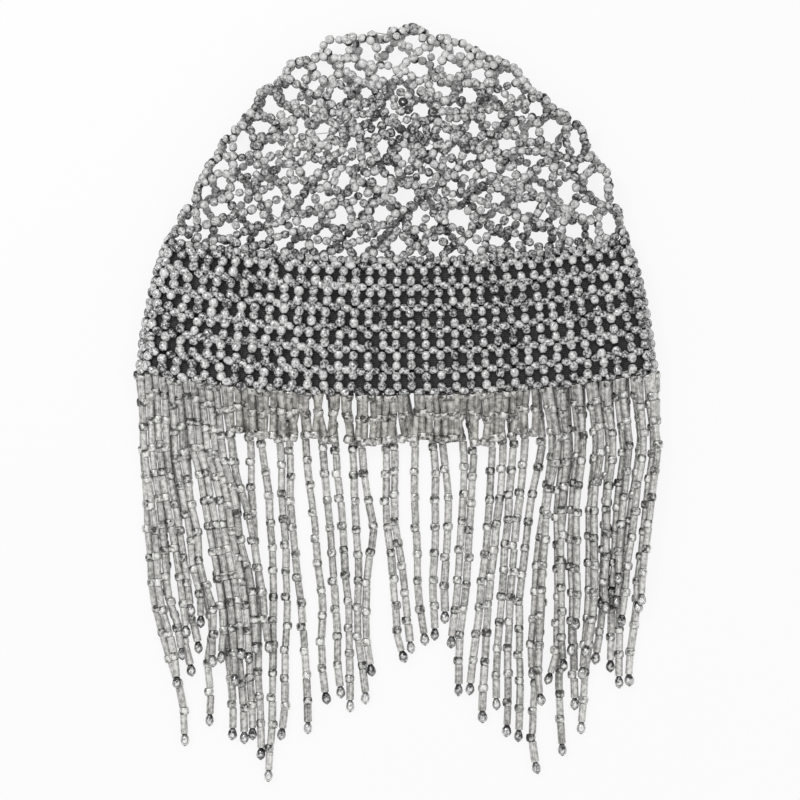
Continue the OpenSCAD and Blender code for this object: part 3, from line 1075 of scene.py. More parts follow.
@dataclass
class BeadBand:
    """The close band: rows of single beads with columns of bead pairs between them.

    Attributes:
        cap: The cap's surface.
        columns: Columns of pairs round the head.
        rows: Rows of single beads.
        low: Share of the height where the lowest row is.
        high: Share of the height where the highest row is.
        pair: Width of a bead of a pair, and its length along the thread.
        single: The same for a bead of a row.
        slope: How far the single beads are turned off their row, in radians for each 1 of disorder,
            and the disorder at which they would lie straight.
        off: How far a bead lies off its place, as a deviation: degrees round the head, shares of the
            height for a pair and for a single bead, and millimetres any way.
        tilt: How far a bead turns off its thread, as a deviation.
        sizes: Smallest and largest bead, as shares of the size.
        tone: Middle and deviation of the beads' tones, and how much paler the most disordered are.
        fuller: How much larger the beads of the left part are, as a share.
        fuller_right: The same for the beads at the right, and between which places that grows.
        single_dull: How much darker than the pairs the single beads are: painted shade, as the pairs catch
            the highlights.
        messy_from: How far left of the middle the beads are twice as disordered as at the right.
        inside: A point inside the cap.
        seed: Start of the random draws.
    """

    cap: FlatCap
    columns: int = 72
    rows: int = 7
    low: float = 0.026
    high: float = 0.963
    pair: tuple[float, float] = (4.65, 4.65)
    single: tuple[float, float] = (4.15, 5.2)
    slope: tuple[float, float] = (0.22, 0.6)
    off: tuple[float, float, float, float] = (0.14, 0.002, 0.003, 0.15)
    tilt: float = 0.1
    sizes: tuple[float, float] = (0.94, 1.03)
    tone: tuple[float, float, float] = (0.64, 0.18, 0.03)
    fuller: float = 0.12
    fuller_right: tuple[float, float, float] = (0.05, 30, 80)
    single_dull: float = 0.18
    messy_from: float = 35.0
    inside: tuple[float, float, float] = (0, 30, 8.5)
    seed: int = 11

    def place(self, u: Array, v: Array, upright: bool, rng: np.random.Generator) -> tuple[Array, ...]:
        """Places, thread directions and outward directions on the band.

        The thread runs along the surface's own tangent, up the band for a pair and round it for a
        single bead, and the outward direction is the cross product of the two tangents.

        Args:
            u: Bearings in degrees.
            v: Shares of the height.
            upright: Whether the thread runs up the band.
            rng: The random draws.

        Returns:
            Places, thread directions and outward directions.
        """
        round_it, up_it = (unit(way) for way in self.cap.tangents(u, v))
        out = np.cross(up_it, round_it)
        centre = self.cap.band_at(u, v)
        out = out * np.sign((out * (centre - np.array(self.inside))).sum(-1, keepdims=True))
        mess = self.mess(centre[:, :1])
        slope, straight = self.slope
        axis = up_it if upright else round_it + slope * (mess - straight) * up_it
        return centre, unit(axis + rng.normal(0, self.tilt, axis.shape) * mess), out

    def mess(self, x: Array) -> Array:
        """How disordered the beads at x are: 1 at the right, rising to 2 at messy_from to the left."""
        return 1 + np.clip(-x / self.messy_from, 0, 1)

    def beads(self) -> Beads:
        """All beads of the band: pairs on the columns between the rows, single ones on the rows.

        Returns:
            Pairs first, then single beads.
        """
        rng = np.random.default_rng(self.seed)
        step = 360 / self.columns
        pitch = (self.high - self.low) / (self.rows - 1)
        half = 0.5 * self.pair[1] / self.cap.band_h
        off_u, off_pair, off_single, off = self.off
        placed = []
        for upright, rows, ends, off_v in (
            (True, self.rows - 1, (-half, half), off_pair), (False, self.rows, (0,), off_single),
        ):
            row, col, end = np.meshgrid(np.arange(rows), np.arange(self.columns), ends, indexing="ij")
            u = (col + 0.5 * (not upright)) * step + rng.normal(0, off_u, col.shape)
            v = self.low + (row + 0.5 * upright) * pitch + end + rng.normal(0, off_v, col.shape)
            placed.append(self.place(u.ravel(), v.ravel(), upright, rng))
        centre, axis, out = (np.concatenate(both) for both in zip(*placed))
        mess = self.mess(centre[:, 0])
        centre = centre + rng.normal(0, off, centre.shape) * mess[:, None]
        counts, total = [len(places) for places, _, _ in placed], len(centre)
        right, *between = self.fuller_right
        full = 1 + self.fuller * (mess - 1) + right * np.interp(centre[:, 0], between, (0, 1))
        width, length = (
            full * np.repeat(sizes, counts) * rng.uniform(*self.sizes, total)
            for sizes in zip(self.pair, self.single)
        )
        *drawn, messy_tone = self.tone
        tone = rng.normal(*drawn, total) + messy_tone * (mess - 1)
        # Painted shade: the single beads are darker than the pairs, which catch the highlights.
        tone = np.clip(tone - self.single_dull * (np.arange(total) >= counts[0]), *TONES)
        return Beads(centre, axis, out, length, width, tone)

    def build(self, glass: Material) -> list[Object]:
        """Makes the band's beads.

        Args:
            glass: Material of the beads.

        Returns:
            The pieces.
        """
        beads = self.beads()
        piece = beads.shell(ROUND_BEAD, 0).to_object("bead_band_beads", [glass])
        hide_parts(Part.BAND.value)
        LOG.info("bead band: %d beads", len(beads.centre))
        return [piece]


@dataclass
class ElasticBand:
    """The dark elastic inside the band: a closed wall round the head.

    Attributes:
        cap: The cap's surface.
        girth: Its length round the head.
        outside: Offset of its outer face from the beads' mid surface.
        thick: Its thickness.
        low: Share of the band's height where it starts.
        high: Share where it ends.
        around: Stations round the head.
        rows: Stations up the wall.
    """

    cap: FlatCap
    girth: float = 458.0
    outside: float = -2.15
    thick: float = 1.0
    low: float = 0.02
    high: float = 0.98
    around: int = 288
    rows: int = 24

    def wall(self) -> tuple[Array, Array, Array]:
        """The wall: band surface + offset times its outward direction, outside, over, inside.

        Returns:
            Corner places, faces, and the flat place of each corner in metres.
        """
        u = np.arange(self.around) * 360 / self.around
        v = np.linspace(self.low, self.high, self.rows)
        gu, gv = np.meshgrid(u, v, indexing="ij")
        round_it, up_it = self.cap.tangents(gu, gv)
        out = unit(np.cross(up_it, round_it))
        mid = self.cap.band_at(gu, gv)
        sheets = [mid + self.outside * out, (mid + (self.outside - self.thick) * out)[:, ::-1]]
        rows = 2 * self.rows
        quads = grid_faces(self.around, rows)[:, [0, 3, 2, 1]]
        flat_u = np.repeat((np.arange(self.around) / self.around * (self.girth * MM))[:, None], rows, 1)
        height = np.concatenate([v, v[::-1]]) * self.cap.band_h * MM
        flat = np.stack([flat_u, np.tile(height, (self.around, 1))], -1)
        return np.concatenate(sheets, 1).reshape(-1, 3), quads, flat.reshape(-1, 2)

    def build(self, cloth: Material) -> list[Object]:
        """Args:
            cloth: Material of the elastic.

        Returns:
            The pieces.
        """
        points, quads, flat = self.wall()
        total = len(points)
        shell = Shell(points, quads, np.zeros((total, 3)), np.zeros((total, 2)), np.zeros(len(quads)))
        piece = shell.to_object("elastic_cloth", [cloth])
        layer = piece.data.uv_layers.new(name="flat")
        corner = np.zeros(len(piece.data.loops), dtype=np.int32)
        piece.data.loops.foreach_get("vertex_index", corner)
        layer.data.foreach_set("uv", flat[corner].astype(np.float32).ravel())
        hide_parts(Part.ELASTIC.value)
        LOG.info("elastic band: %d faces", len(quads))
        return [piece]


@dataclass
class Strings:
    """Strings of long and round beads as they lie.

    Attributes:
        route: Stations shaped strings, stations, 3, in millimetres.
        total: Length of each string's beads, less the drop.
        units: Long beads of each string, each with the round one after it.
        width: Width of the long beads.
        ended: Whether each string ends in a drop.
    """

    route: Array
    total: Array
    units: Array
    width: float
    ended: bool


@dataclass(frozen=True)
class Lay:
    """How the front layer's long strings of one side lie over the back layer's, in pairs.

    Attributes:
        apart: Half the distance between the two strings of a pair.
        raised: How far the second string lies over the first.
        gather: How far a pair wanders from side to side, as a deviation.
        drift: How far further in than the back's strings the innermost pairs lie.
        outward: How far a pair moves out to lie over a string of the back layer.
        fewer: How many long beads shorter than the back's the strings are, outermost and innermost.
    """

    apart: float
    raised: float
    gather: float
    drift: float
    outward: float
    fewer: tuple[float, float]


@dataclass(frozen=True)
class LoopShape:
    """How the short loops stand open, each by one long bead of its two legs.

    Attributes:
        share: Share of the loops that stand open.
        wide: How far a leg then moves out, smallest and largest, in millimetres.
        upper: Share of them that open at their upper beads.
        places: Where the upper and the lower beads lie, as shares of the length.
        reach: How far up and down the opening reaches, smallest and largest, as such shares.
        off: Deviations: of that place, of a loop's place across and its length in millimetres, and
            of a leg's height.
    """

    share: float = 0.5
    wide: tuple[float, float] = (1.3, 2.2)
    upper: float = 0.4
    places: tuple[float, float] = (0.24, 0.68)
    reach: tuple[float, float] = (0.2, 0.27)
    off: tuple[float, float, float, float] = (0.03, 1.0, 1.3, 0.25)


@dataclass
class Fringe:
    """The fringe: strings of long and round beads under the columns of the band.

    The back layer has a long string at each column. The front layer has pairs of long ones at its
    two sides, and between them short loops that each run from one column to the next. Columns count
    from the left in both layers, and at the sides the front's lie half a column further in.

    Attributes:
        cap: The cap's surface.
        columns: Columns of a layer.
        half_reach: Half the width that the columns' strings start over.
        unit_l: Length of a long bead and the round one after it.
        uneven: How much that length varies, as a share of it.
        first: How much more or less a string's first unit has, as a share too.
        round_l: Length of the round bead.
        round_w: Its width.
        long_w: Width of the long beads.
        leg_w: Their width in the loops.
        drop_l: Length of the drop at a string's end.
        drop_w: Its width.
        thread_r: Radius of the thread.
        gap: Room between two strings that lie side by side.
        tuck: How far a string's first bead starts up behind the rim's beads.
        drape_l: How far along the table a string of the front layer takes to come down.
        upper_rest: Height at which the front layer rests on what is under it.
        raised: How far every other loop lies over its neighbours.
        short_from: Left end of the stretch of short loops.
        short_to: Right end of it.
        loop_units: Long beads of a loop's leg.
        loop_shape: How the loops stand open.
        levels: Heights in the photo at which strings were read, in its pixels.
        strands: The back layer's strings as read there, from left to right: places across at
            each level and at the tip, and the tip's height.
        swings: Bends between the levels, in pixels: the string's number, height, shift across,
            and how far up and down the shift reaches.
        gaps: Long gaps through both layers on the left, as read in the photo: place across,
            height, half the width and half the height, in its pixels.
        soften: How many stations to each side a string is smoothed over.
        turns: How often strings are moved out of the gaps and then apart.
        pushes: How often neighbours are pushed apart each time.
        left: How the long strings of the left side lie.
        right: How those of the right side lie.
        drift_to: The place across, to either side, of the innermost of them.
        drift_by: Shares of the drift that each level and the tip take.
        ragged: Smallest and largest share of those fewer beads that a string takes.
        led: Share of the strings that start with a round bead.
        waves: Lengths and heights of the slow waves that a string lies in.
        back_wave: Share of their height that the back's strings take.
        side_wave: Share that the front's long strings take.
        loop_wave: Share that the loops take.
        wave_from: Depth below the rim at which the waves have their full height.
        sway: Depths over which the two waves that a pair wanders in turn by a radian.
        settle: Depth at which a pair's wandering and lift are full.
        sizes: Smallest and largest bead, as shares of the width.
        tones: Middle of the beads' tones, and deviation for long beads and for the rest.
        tilt: How far a bead turns round its string, as a deviation.
        off_round: Middle and deviation of how far a round bead lies off its string across.
        thread_rows: Stations of a drawn thread.
        kink: How far each joint between two beads lies off the string's line, as a deviation.
        curl: How far a string's end lies to one side, as a deviation.
        curl_l: Length of the string over which it does.
        seed: Start of the random draws.
        stations: Depths below the rim at which routes are worked out.
    """

    cap: FlatCap
    columns: int = 36
    half_reach: float = 122.8
    unit_l: float = 12.4
    uneven: float = 0.05
    first: float = 0.22
    round_l: float = 3.5
    round_w: float = 4.8
    long_w: float = 3.8
    leg_w: float = 3.4
    drop_l: float = 5.8
    drop_w: float = 4.8
    thread_r: float = 0.25
    gap: float = 0.1
    tuck: float = 0.9
    drape_l: float = 26.0
    upper_rest: float = 5.9
    raised: float = 1.5
    short_from: float = -80.0
    short_to: float = 66.0
    loop_units: int = 2
    loop_shape: LoopShape = LoopShape()
    levels: tuple[float, ...] = (445, 500, 600)
    strands: Table = (
        (142, 146, 153, 194, 748), (156, 161, 168, 193, 678), (171, 176, 185, 201, 655),
        (186, 192, 207, 199, 728), (201, 207, 222, 238, 742), (215, 221, 232, 249, 746),
        (229, 236, 246, 258, 742), (245, 252, 260, 250, 762), (261, 268, 272, 269, 784),
        (280, 282, 288, 283, 742), (290, 288, 302, 309, 736), (306, 310, 320, 324, 706),
        (322, 327, 337, 339, 700), (335, 340, 348, 350, 714), (352, 355, 367, 370, 706),
        (363, 368, 356, 361, 678), (388, 386, 393, 411, 664), (394, 394, 405, 414, 655),
        (418, 415, 419, 426, 647), (436, 437, 433, 437, 642), (444, 447, 444, 445, 625),
        (466, 464, 458, 445, 650), (476, 473, 466, 451, 698), (494, 490, 480, 468, 697),
        (504, 499, 490, 482, 725), (516, 510, 502, 494, 712), (528, 521, 509, 507, 739),
        (543, 532, 521, 519, 744), (556, 547, 543, 532, 776), (570, 562, 561, 562, 758),
        (584, 577, 576, 575, 712), (599, 592, 597, 581, 736), (614, 606, 604, 596, 666),
        (629, 621, 613, 618, 674), (643, 636, 622, 610, 690), (657, 650, 638, 625, 688),
    )
    swings: Table = (
        (15, 540, 9, 28), (14, 546, -5, 24), (3, 632, 9, 18), (3, 702, 9, 14), (16, 642, -8, 12),
    )
    gaps: Table = (
        (224, 450, 2.5, 20), (244, 460, 2.5, 24), (195, 480, 3, 26), (204, 550, 2.5, 30),
        (242, 524, 1.5, 20),
    )
    soften: int = 2
    turns: int = 3
    pushes: int = 60
    left: Lay = Lay(apart=1.75, raised=0.0, gather=1.5, drift=9.0, outward=0.0, fewer=(1.0, 3.0))
    right: Lay = Lay(apart=1.05, raised=2.4, gather=0.5, drift=1.0, outward=3.0, fewer=(2.6, 2.6))
    drift_to: float = 78.0
    drift_by: tuple[float, ...] = (0.25, 0.65, 1, 1)
    ragged: tuple[float, float] = (0.7, 1.3)
    led: float = 0.5
    waves: Table = ((27, 0.5), (15, 0.35), (70, 0.8))
    back_wave: float = 0.5
    side_wave: float = 0.6
    loop_wave: float = 1.2
    wave_from: float = 40.0
    sway: tuple[float, float] = (30.0, 22.0)
    settle: float = 12.0
    sizes: tuple[float, float] = (0.93, 1.05)
    tones: tuple[float, float, float] = (0.6, 0.09, 0.16)
    tilt: float = 0.1
    off_round: tuple[float, float] = (-0.15, 0.3)
    thread_rows: int = 48
    kink: float = 0.4
    curl: float = 1.6
    curl_l: float = 18.0
    seed: int = 5
    stations: Array = field(default_factory=lambda: np.linspace(0, 200, 134))

    def __post_init__(self) -> None:
        """Sets where each column starts, and starts the random draws."""
        even = self.half_reach * (2 * (np.arange(self.columns) + 0.5) / self.columns - 1)
        inward = self.half_reach / self.columns * np.clip(even / self.short_to, -1, 1)
        self.start = {True: even - inward, False: even}
        self.rng = np.random.default_rng(self.seed)

    def rim(self, x: Array, front: bool) -> tuple[Array, Array]:
        """Place and height of the rim at some places across.

        Args:
            x: Places across.
            front: Whether the front layer's rim is meant.

        Returns:
            Y and Z of the rim there.
        """
        u = np.linspace(179.99, 0.01, 181) if front else np.linspace(180.01, 359.99, 181)
        edge = self.cap.band_at(u, self.tuck / self.cap.band_h)
        return np.interp(x, edge[:, 0], edge[:, 1]), np.interp(x, edge[:, 0], edge[:, 2])

    def across(self, start: Array, lay: Lay | None) -> tuple[Array, Array]:
        """Where long strings lie across, at each station.

        A string runs straight between its start, its levels and its tip, and each of its bends
        adds shift exp(-((height - at) / reach) squared). Its end curls as the square of the way in.

        Args:
            start: Where the strings start.
            lay: How they lie over the back layer, or None for the back layer's own.

        Returns:
            Places shaped strings, stations, and the depth of each string's tip.
        """
        rows = np.array(self.strands, float)
        outward = np.sign(start) * (lay.outward if lay else 0)
        read = np.stack([np.interp(start + outward, self.start[False], column) for column in rows.T], -1)
        places = (read[:, :-1] - PHOTO_MID[0]) * PHOTO_MM
        rise = (self.rim(start, lay is not None)[0] - self.cap.lie_y)[:, None]
        heights = np.concatenate([np.tile(self.levels, (len(start), 1)), read[:, -1:]], 1)
        depths = (heights - PHOTO_MID[1]) * PHOTO_MM + rise
        tip = depths[:, -1]
        if lay:
            inward = (self.half_reach - np.abs(start)) / (self.half_reach - self.drift_to)
            places -= (np.sign(start) * lay.drift * inward)[:, None] * np.array(self.drift_by)
            fewer = np.interp(inward, (0, 1), lay.fewer)
            tip = tip - fewer * self.unit_l * self.rng.uniform(*self.ragged, len(start))
        x = np.stack([
            np.interp(self.stations, np.append(0, depth), np.append(first, place))
            for first, place, depth in zip(start, places, depths)
        ])
        aside = np.random.default_rng(self.seed + len(start)).normal(0, self.curl, (len(start), 1))
        x += aside * np.clip(1 - (tip[:, None] - self.stations) / self.curl_l, 0, 1.2) ** 2
        if lay is None:
            for who, height, shift, reach in self.swings:
                off = (self.stations - rise[who, 0]) / PHOTO_MM + PHOTO_MID[1] - height
                x[who] += shift * PHOTO_MM * np.exp(-((off / reach) ** 2))
        return x, tip

    def loosened(self, x: Array, size: float) -> Array:
        """Adds to each string slow waves and a kink at each joint, straight between joints.

        Args:
            x: Places across, shaped strings, stations.
            size: Height of the waves.

        Returns:
            Places of the same shape.
        """
        d, count = self.stations, len(x)
        phase = self.rng.uniform(0, 2 * np.pi, (len(self.waves), count, 1))
        wave = sum(high * np.sin(d / long + p) for (long, high), p in zip(self.waves, phase))
        joint = self.rng.normal(0, self.kink, (count, int(d[-1] / self.unit_l) + 3))
        joint[:, 0] = 0
        k = (d / self.unit_l).astype(int)
        t = d / self.unit_l - k
        slow = size * np.clip(d / self.wave_from, 0, 1) * wave
        return x + slow + joint[:, k] * (1 - t) + joint[:, k + 1] * t

    def spread(self, x: Array, width: float) -> Array:
        """Moves neighbours apart until each has its width, by half of what is missing each way.

        Args:
            x: Places across from left to right, shaped strings, stations.
            width: Room that a string needs.

        Returns:
            Places of the same shape.
        """
        x = x.copy()
        for _ in range(self.pushes):
            push = np.clip(width - np.diff(x, axis=0), 0, None) / 2
            x[:-1] -= push
            x[1:] += push
        return x

    def parted(self, x: Array, front: bool, levels: int, width: float) -> Array:
        """Moves strings out of the gaps, and then each level's apart, by turns.

        A string stays on the side of a gap where it is at the gap's middle. What it lacks to clear
        the gap is made up by exp(-((height - at) / half height) squared). After each turn a place
        is the mean of those up to `soften` stations off it.

        Args:
            x: Places across from left to right, shaped strings, stations.
            front: Whether the strings start at the front layer's rim.
            levels: How many levels of strings lie one over the other.
            width: Room that a string needs.

        Returns:
            Places of the same shape.
        """
        x = x.copy()
        below = self.stations - self.rim(x[:, :1], front)[0] + self.cap.lie_y
        height = below / PHOTO_MM + PHOTO_MID[1]
        for _ in range(self.turns):
            for at, middle, half_w, half_h in self.gaps:
                reach = half_w * PHOTO_MM + width / 2
                off = x - (at - PHOTO_MID[0]) * PHOTO_MM
                side = np.sign(np.take_along_axis(off, np.abs(height - middle).argmin(1)[:, None], 1))
                share = np.exp(-(((height - middle) / half_h) ** 2))
                x += side * np.clip(reach - side * off, 0, 2 * reach) * share
            for level in range(levels):
                x[level::levels] = self.spread(x[level::levels], width)
            wider = np.pad(x, ((0, 0), (self.soften, self.soften)), "edge")
            x = np.lib.stride_tricks.sliding_window_view(wider, 2 * self.soften + 1, axis=1).mean(-1)
        return x

    def laid(self, x: Array, front: bool, rest: float) -> Array:
        """Routes over the table: a string comes down from the rim as (1 - d/l) squared.

        Args:
            x: Places across, shaped strings, stations.
            front: Whether the strings start at the front layer's rim.
            rest: Height at which they rest.

        Returns:
            Stations shaped strings, stations, 3.
        """
        d = self.stations[None]
        rim_y, rim_z = self.rim(x[:, :1], front)
        z = rest + (rim_z - rest) * np.maximum(0, 1 - d / self.drape_l) ** 2
        return np.stack([x, rim_y - d, z], -1)

    def back_ones(self) -> Strings:
        """The back layer's strings, side by side.

        Returns:
            The strings, from left to right.
        """
        x, tip = self.across(self.start[False], None)
        x = self.parted(self.loosened(x, self.back_wave), False, 1, self.long_w + self.gap)
        return self.ended(self.laid(x, False, self.round_w / 2), tip, self.long_w)

    def pairs(self, start: Array, lay: Lay) -> Strings:
        """The front layer's long strings of one side, two for each column.

        A pair wanders from side to side by a cos(d / k) + b sin(d / l) at depth d, with k and l
        from sway. Where its strings lie one over the other, each level is spread on its own.

        Args:
            start: Where the columns are, from left to right.
            lay: How the strings lie.

        Returns:
            The strings from left to right.
        """
        d = self.stations
        x, tip = self.across((start[:, None] + lay.apart * np.array([-1, 1])).ravel(), lay)
        sway = np.repeat(self.rng.normal(0, lay.gather, (2, len(start))), 2, axis=1)[..., None]
        settled = np.clip(d / self.settle, 0, 1)
        x = x + settled * (sway[0] * np.cos(d / self.sway[0]) + sway[1] * np.sin(d / self.sway[1]))
        x = self.loosened(x, self.side_wave)
        x = self.parted(x, True, 2 if lay.raised else 1, self.leg_w + self.gap)
        route = self.laid(x, True, self.upper_rest)
        lift = np.tile([0, lay.raised], len(start))[:, None] + self.raised / 2 * self.rng.random((len(x), 1))
        route[..., 2] += lift * settled
        return self.ended(route, tip, self.leg_w)

    def ended(self, route: Array, tip: Array, width: float) -> Strings:
        """Long strings that end in a drop.

        Args:
            route: Their routes.
            tip: Depth of each string's tip.
            width: Width of their long beads.

        Returns:
            The strings, with as many long beads as fit best.
        """
        run = zip(tip, run_lengths(route))
        total = np.array([np.interp(depth, self.stations, lengths) for depth, lengths in run])
        total = total + self.round_l - self.drop_l
        return Strings(route, total, np.round(total / self.unit_l).astype(int), width, True)

    def loops(self, start: Array) -> Strings:
        """The short loops, each from one column to the next, and a single leg at either end.

        A loop's legs lie h to each side of the middle between its columns. Where the loop is
        open, h grows over half the legs' width by wide exp(-((t - place) / reach) to the fourth),
        so that one long bead of each leg is moved aside as a whole.

        Args:
            start: Where the columns are, from left to right.

        Returns:
            The legs from left to right.
        """
        rng, length, count, shape = self.rng, self.loop_units * self.unit_l, len(start) - 1, self.loop_shape
        off_place, off_x, off_length, off_z = shape.off
        t = self.stations[None] / length
        wide = np.where(rng.random(count) < shape.share, rng.uniform(*shape.wide, count), 0)[:, None]
        place = np.where(rng.random((count, 1)) < shape.upper, *shape.places)
        place = place + rng.normal(0, off_place, (count, 1))
        reach = rng.uniform(*shape.reach, (count, 1))
        h = self.leg_w / 2 + wide * np.exp(-(((t - place) / reach) ** 4))
        middle = (start[1:, None] + start[:-1, None]) / 2
        middle = middle + rng.normal(0, off_x, (count, 1)) * np.clip(t, 0, 1)
        legs = np.stack([middle - h, middle + h], 1).reshape(2 * count, -1)
        outer = start[[0, -1], None] + self.leg_w / 2 * np.array([[-1], [1]]) + 0 * t
        x = self.loosened(np.concatenate([outer[:1], legs, outer[1:]]), self.loop_wave)
        route = self.laid(x, True, self.upper_rest)
        over = np.concatenate([[0], np.repeat(np.arange(count) % 2, 2), [0]])[:, None]
        lift = self.raised * over + rng.normal(0, off_z, (len(x), 1))
        route[..., 2] += lift * np.clip(3 * t, 0, 1)
        total = length + np.concatenate([[0], np.repeat(rng.normal(0, off_length, count), 2), [0]])
        return Strings(route, total, np.full(len(x), self.loop_units), self.leg_w, False)

    def layers(self) -> dict[Part, Strings]:
        """All strings, by the node that they stand for.

        Returns:
            The front's loops, the front's long strings at the left and the right, and the back's.
        """
        start = self.start[True]
        return {
            Part.FRONT: self.loops(start[(start > self.short_from) & (start < self.short_to)]),
            Part.LEFT: self.pairs(start[start <= self.short_from], self.left),
            Part.RIGHT: self.pairs(start[start >= self.short_to], self.right),
            Part.BACK: self.back_ones(),
        }

    def shells(self, strings: Strings) -> list[Shell]:
        """The beads of some strings.

        Some strings start with a round bead. Each unit's length is drawn, and all of a string's are
        brought to what is left of its total. A unit's long bead and round bead follow on from the
        sum of the units before, and a bead lies straight between the two places of its ends on the
        string. A drop takes the place of the last round bead.

        Args:
            strings: The strings.

        Returns:
            Shells of long beads, round beads and drops.
        """
        rng, count = self.rng, len(strings.units)
        used = np.arange(strings.units.max())[None] < strings.units[:, None]
        length = used * (1 + rng.normal(0, self.uneven, used.shape))
        length[:, 0] += rng.uniform(-1, 1, count) * self.first
        lead = self.round_l * (rng.random((count, 1)) < self.led)
        length *= (strings.total[:, None] - lead) / length.sum(1, keepdims=True)
        end = lead + np.cumsum(length, 1)
        tip = strings.total[:, None] - self.round_l
        round_ones = used & (end < tip) if strings.ended else used
        round_low = np.concatenate([0 * lead, end - self.round_l], 1)
        round_high = np.concatenate([lead, end], 1)
        pieces = [
            (LONG_BEAD, end - length, end - self.round_l, strings.width, used),
            (SHORT_BEAD, round_low, round_high, self.round_w, np.concatenate([lead > 0, round_ones], 1)),
            (DROP_BEAD, tip, tip + self.drop_l, self.drop_w, np.full(tip.shape, strings.ended)),
        ]
        run = run_lengths(strings.route)
        made = []
        for finish, (form, low, high, width, there) in enumerate(pieces):
            a, b = (along_lines(strings.route, run, ends)[there] for ends in (low, high))
            total = len(a)
            wide = width * rng.uniform(*self.sizes, total)
            centre = (a + b) / 2
            if form is SHORT_BEAD:
                centre[:, 0] += rng.normal(*self.off_round, total)
            up = np.array([0.02, 0.0, 1.0]) + rng.normal(0, self.tilt, (total, 3))
            mid_tone, long_off, short_off = self.tones
            tone = np.clip(rng.normal(mid_tone, short_off if finish else long_off, total), *TONES)
            made.append(Beads(centre, b - a, up, (high - low)[there], wide, tone).shell(form, finish))
        return made

    def build(self, loop: list[Material], long: list[Material]) -> list[Object]:
        """Makes one piece for each node of the fringe.

        Args:
            loop: Materials of the loops: long bead and round bead, darker in painted shade, drop and thread.
            long: Those of the long strings, in the same order.

        Returns:
            The pieces.
        """
        made = []
        for part, strings in self.layers().items():
            at = np.linspace(0, 1, self.thread_rows)[None] * strings.total[:, None]
            thread = threads(along_lines(strings.route, run_lengths(strings.route), at), self.thread_r, 3)
            dressed = long if strings.ended else loop
            piece = Shell.joined([*self.shells(strings), thread]).to_object(part.value + "_beads", dressed)
            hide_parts(part.value)
            LOG.info("%s: %d strings, %d long beads", part.value, len(strings.units), strings.units.sum())
            made.append(piece)
        return made


@dataclass
class Studio:
    """A pale table, soft light from all round and a long lens straight above.

    Attributes:
        frame_mm: Width of the table that the picture takes in.
        middle: The picture's middle on the table, in millimetres.
        distance: Height of the lens over the beads, in metres.
        level: Height of the beads that the scale holds for, in millimetres.
        sensor: Width of the camera's sensor.
        table_side: Half the table's width, in metres.
        table_z: Height of the table's top, in metres.
        lamps: Name, place and side in metres, and power in watts of each light.
    """

    frame_mm: float = 368.8
    middle: tuple[float, float] = (1.4, 0.42)
    distance: float = 1.5
    level: float = 10.0
    sensor: float = 36.0
    table_side: float = 3.0
    table_z: float = -0.0002
    lamps: tuple[tuple, ...] = (("key", (-0.5, 0.6, 1.0), 0.25, 9.0), ("fill", (0.9, -0.3, 0.9), 0.5, 6.0))

    def camera(self) -> None:
        """Sets the camera: focal length = sensor width times distance over the frame's width."""
        data = bpy.data.cameras.new("camera")
        data.sensor_width = self.sensor
        data.lens = self.sensor * self.distance / (self.frame_mm * MM)
        data.clip_end = 10.0
        camera = linked("camera", data)
        camera.location = (self.middle[0] * MM, self.middle[1] * MM, self.distance + self.level * MM)
        bpy.context.scene.camera = camera

    def light(self, name: str, place: tuple[float, float, float], size: float, power: float) -> None:
        """Adds a soft square light that faces the middle of the table.

        Args:
            name: The light's name.
            place: Its place in metres.
            size: Its side in metres.
            power: Its power in watts.
        """
        data = bpy.data.lights.new(name, "AREA")
        data.shape, data.size, data.energy = "SQUARE", size, power
        lamp = linked(name, data)
        lamp.location = place
        way = unit(-np.array(place))
        lamp.rotation_euler = (float(np.arccos(-way[2])), 0.0, float(np.arctan2(way[0], -way[1])))

    def table(self) -> None:
        """Lays a pale table under the cap, a single square face."""
        s, z = self.table_side, self.table_z
        mesh = bpy.data.meshes.new("table")
        mesh.from_pydata([(-s, -s, z), (s, -s, z), (s, s, z), (-s, s, z)], [], [(0, 1, 2, 3)])
        floor = linked("table", mesh)
        material, n, shader = blank_material("pale_table")
        n.fill(shader, {
            "Base Color": (0.12, 0.12, 0.12), "Roughness": 0.9, "Specular IOR Level": 0.0,
            "Emission Color": (1.0, 1.0, 1.0), "Emission Strength": 0.86,
        })
        mesh.materials.append(material)

    def sky(self) -> None:
        """Lights the whole from a world that is bright overhead and darker at the horizon."""
        world = bpy.data.worlds.new("studio")
        bpy.context.scene.world = world
        world.use_nodes = True
        n = Nodes(world.node_tree)
        height = n.parts(n.add("ShaderNodeTexCoord").outputs["Generated"])[2]
        glow = n.remap(height, 0.05, 0.75, 0.12, 1.0)
        n.fill(world.node_tree.nodes["Background"], {"Strength": glow, "Color": (1.0, 1.0, 1.0)})

    def build(self) -> None:
        """Sets up camera, table, sky and lights."""
        self.camera()
        self.table()
        self.sky()
        for lamp in self.lamps:
            self.light(*lamp)
        bpy.context.scene.view_settings.view_transform = "Standard"


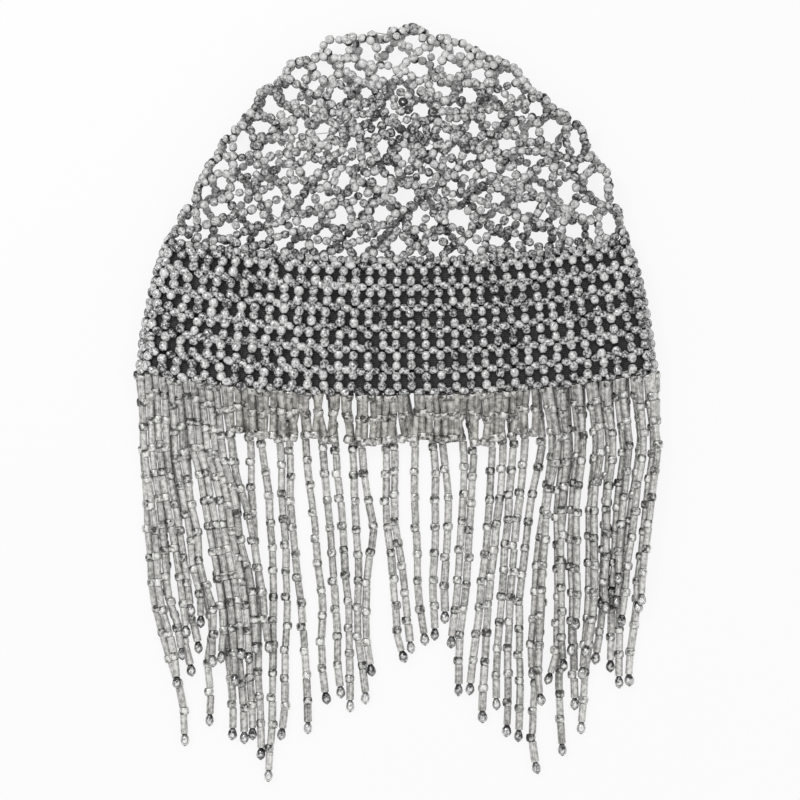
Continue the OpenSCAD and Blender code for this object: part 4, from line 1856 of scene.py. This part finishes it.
NET_GLASS = SilveredGlass(
    "net_bead_silvered", pale=(0.71, 0.71, 0.705), outline=0.95, outline_width=0.5, mottle=0.85,
    grain=800.0, roughness=0.4, metallic=0.15, coat=0.3,
)
BAND_GLASS = SilveredGlass(
    "band_bead_silvered", pale=(0.8, 0.8, 0.795), outline=1.0, outline_width=0.58, mottle=1.0,
    grain=850.0, roughness=0.24, metallic=0.25, coat=0.6,
)
LONG_GLASS = SilveredGlass(
    "long_bead_silvered", deep=(0.15, 0.147, 0.135), pale=(0.84, 0.832, 0.805), outline=0.18,
    outline_width=0.42, mottle=0.5, grain=560.0, streak=0.16, slant=0.1, roughness=0.3, metallic=0.3,
)
# The loops' glass: darker copies of the long strings' glass, in painted shade of the band that the loops lie
# under, with softer edges.
LEG_GLASS_PAINTED_SHADE = SilveredGlass(
    "loop_bead_silvered", deep=(0.15, 0.147, 0.132), pale=(0.7, 0.687, 0.645), outline=0.08,
    outline_width=0.45, mottle=0.65, grain=420.0, streak=0.12, slant=0.05, roughness=0.3, metallic=0.3,
)
LEG_SEED_GLASS_PAINTED_SHADE = SilveredGlass(
    "loop_round_bead_silvered", deep=(0.08, 0.078, 0.07), pale=(0.82, 0.81, 0.78), outline=0.22,
    outline_width=0.5, mottle=1.0, grain=520.0, split=0.1, slant=0.12, roughness=0.22, metallic=0.4,
)
SEED_GLASS = SilveredGlass(
    "fringe_bead_silvered", deep=(0.05, 0.049, 0.045), pale=(0.88, 0.875, 0.845), outline=0.22,
    outline_width=0.5, mottle=0.9, grain=500.0, split=0.14, slant=0.2, metallic=0.45,
)
DROP_GLASS = SilveredGlass("drop_silvered", mottle=0.8, outline=0.4, split=0.25, roughness=0.16)


def main() -> None:
    """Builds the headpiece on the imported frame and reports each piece."""
    logging.basicConfig(level=logging.INFO, format="%(name)s: %(message)s")
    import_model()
    Studio().build()
    group = bead_body_group()
    thread, drop = WaxedThread().material(), DROP_GLASS.material(group)
    loop = [LEG_GLASS_PAINTED_SHADE.material(group), LEG_SEED_GLASS_PAINTED_SHADE.material(group), drop, thread]
    long = [LONG_GLASS.material(group), SEED_GLASS.material(group), drop, thread]
    cap = FlatCap()
    pieces = CrownNet(cap).build(NET_GLASS.material(group), thread)
    pieces += BeadBand(cap).build(BAND_GLASS.material(group))
    pieces += ElasticBand(cap).build(RibbedElastic().material())
    pieces += Fringe(cap).build(loop, long)
    for piece in pieces:
        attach(piece, "root")
        LOG.info("%s: %d faces", piece.name, len(piece.data.polygons))


if __name__ == "__main__":
    main()
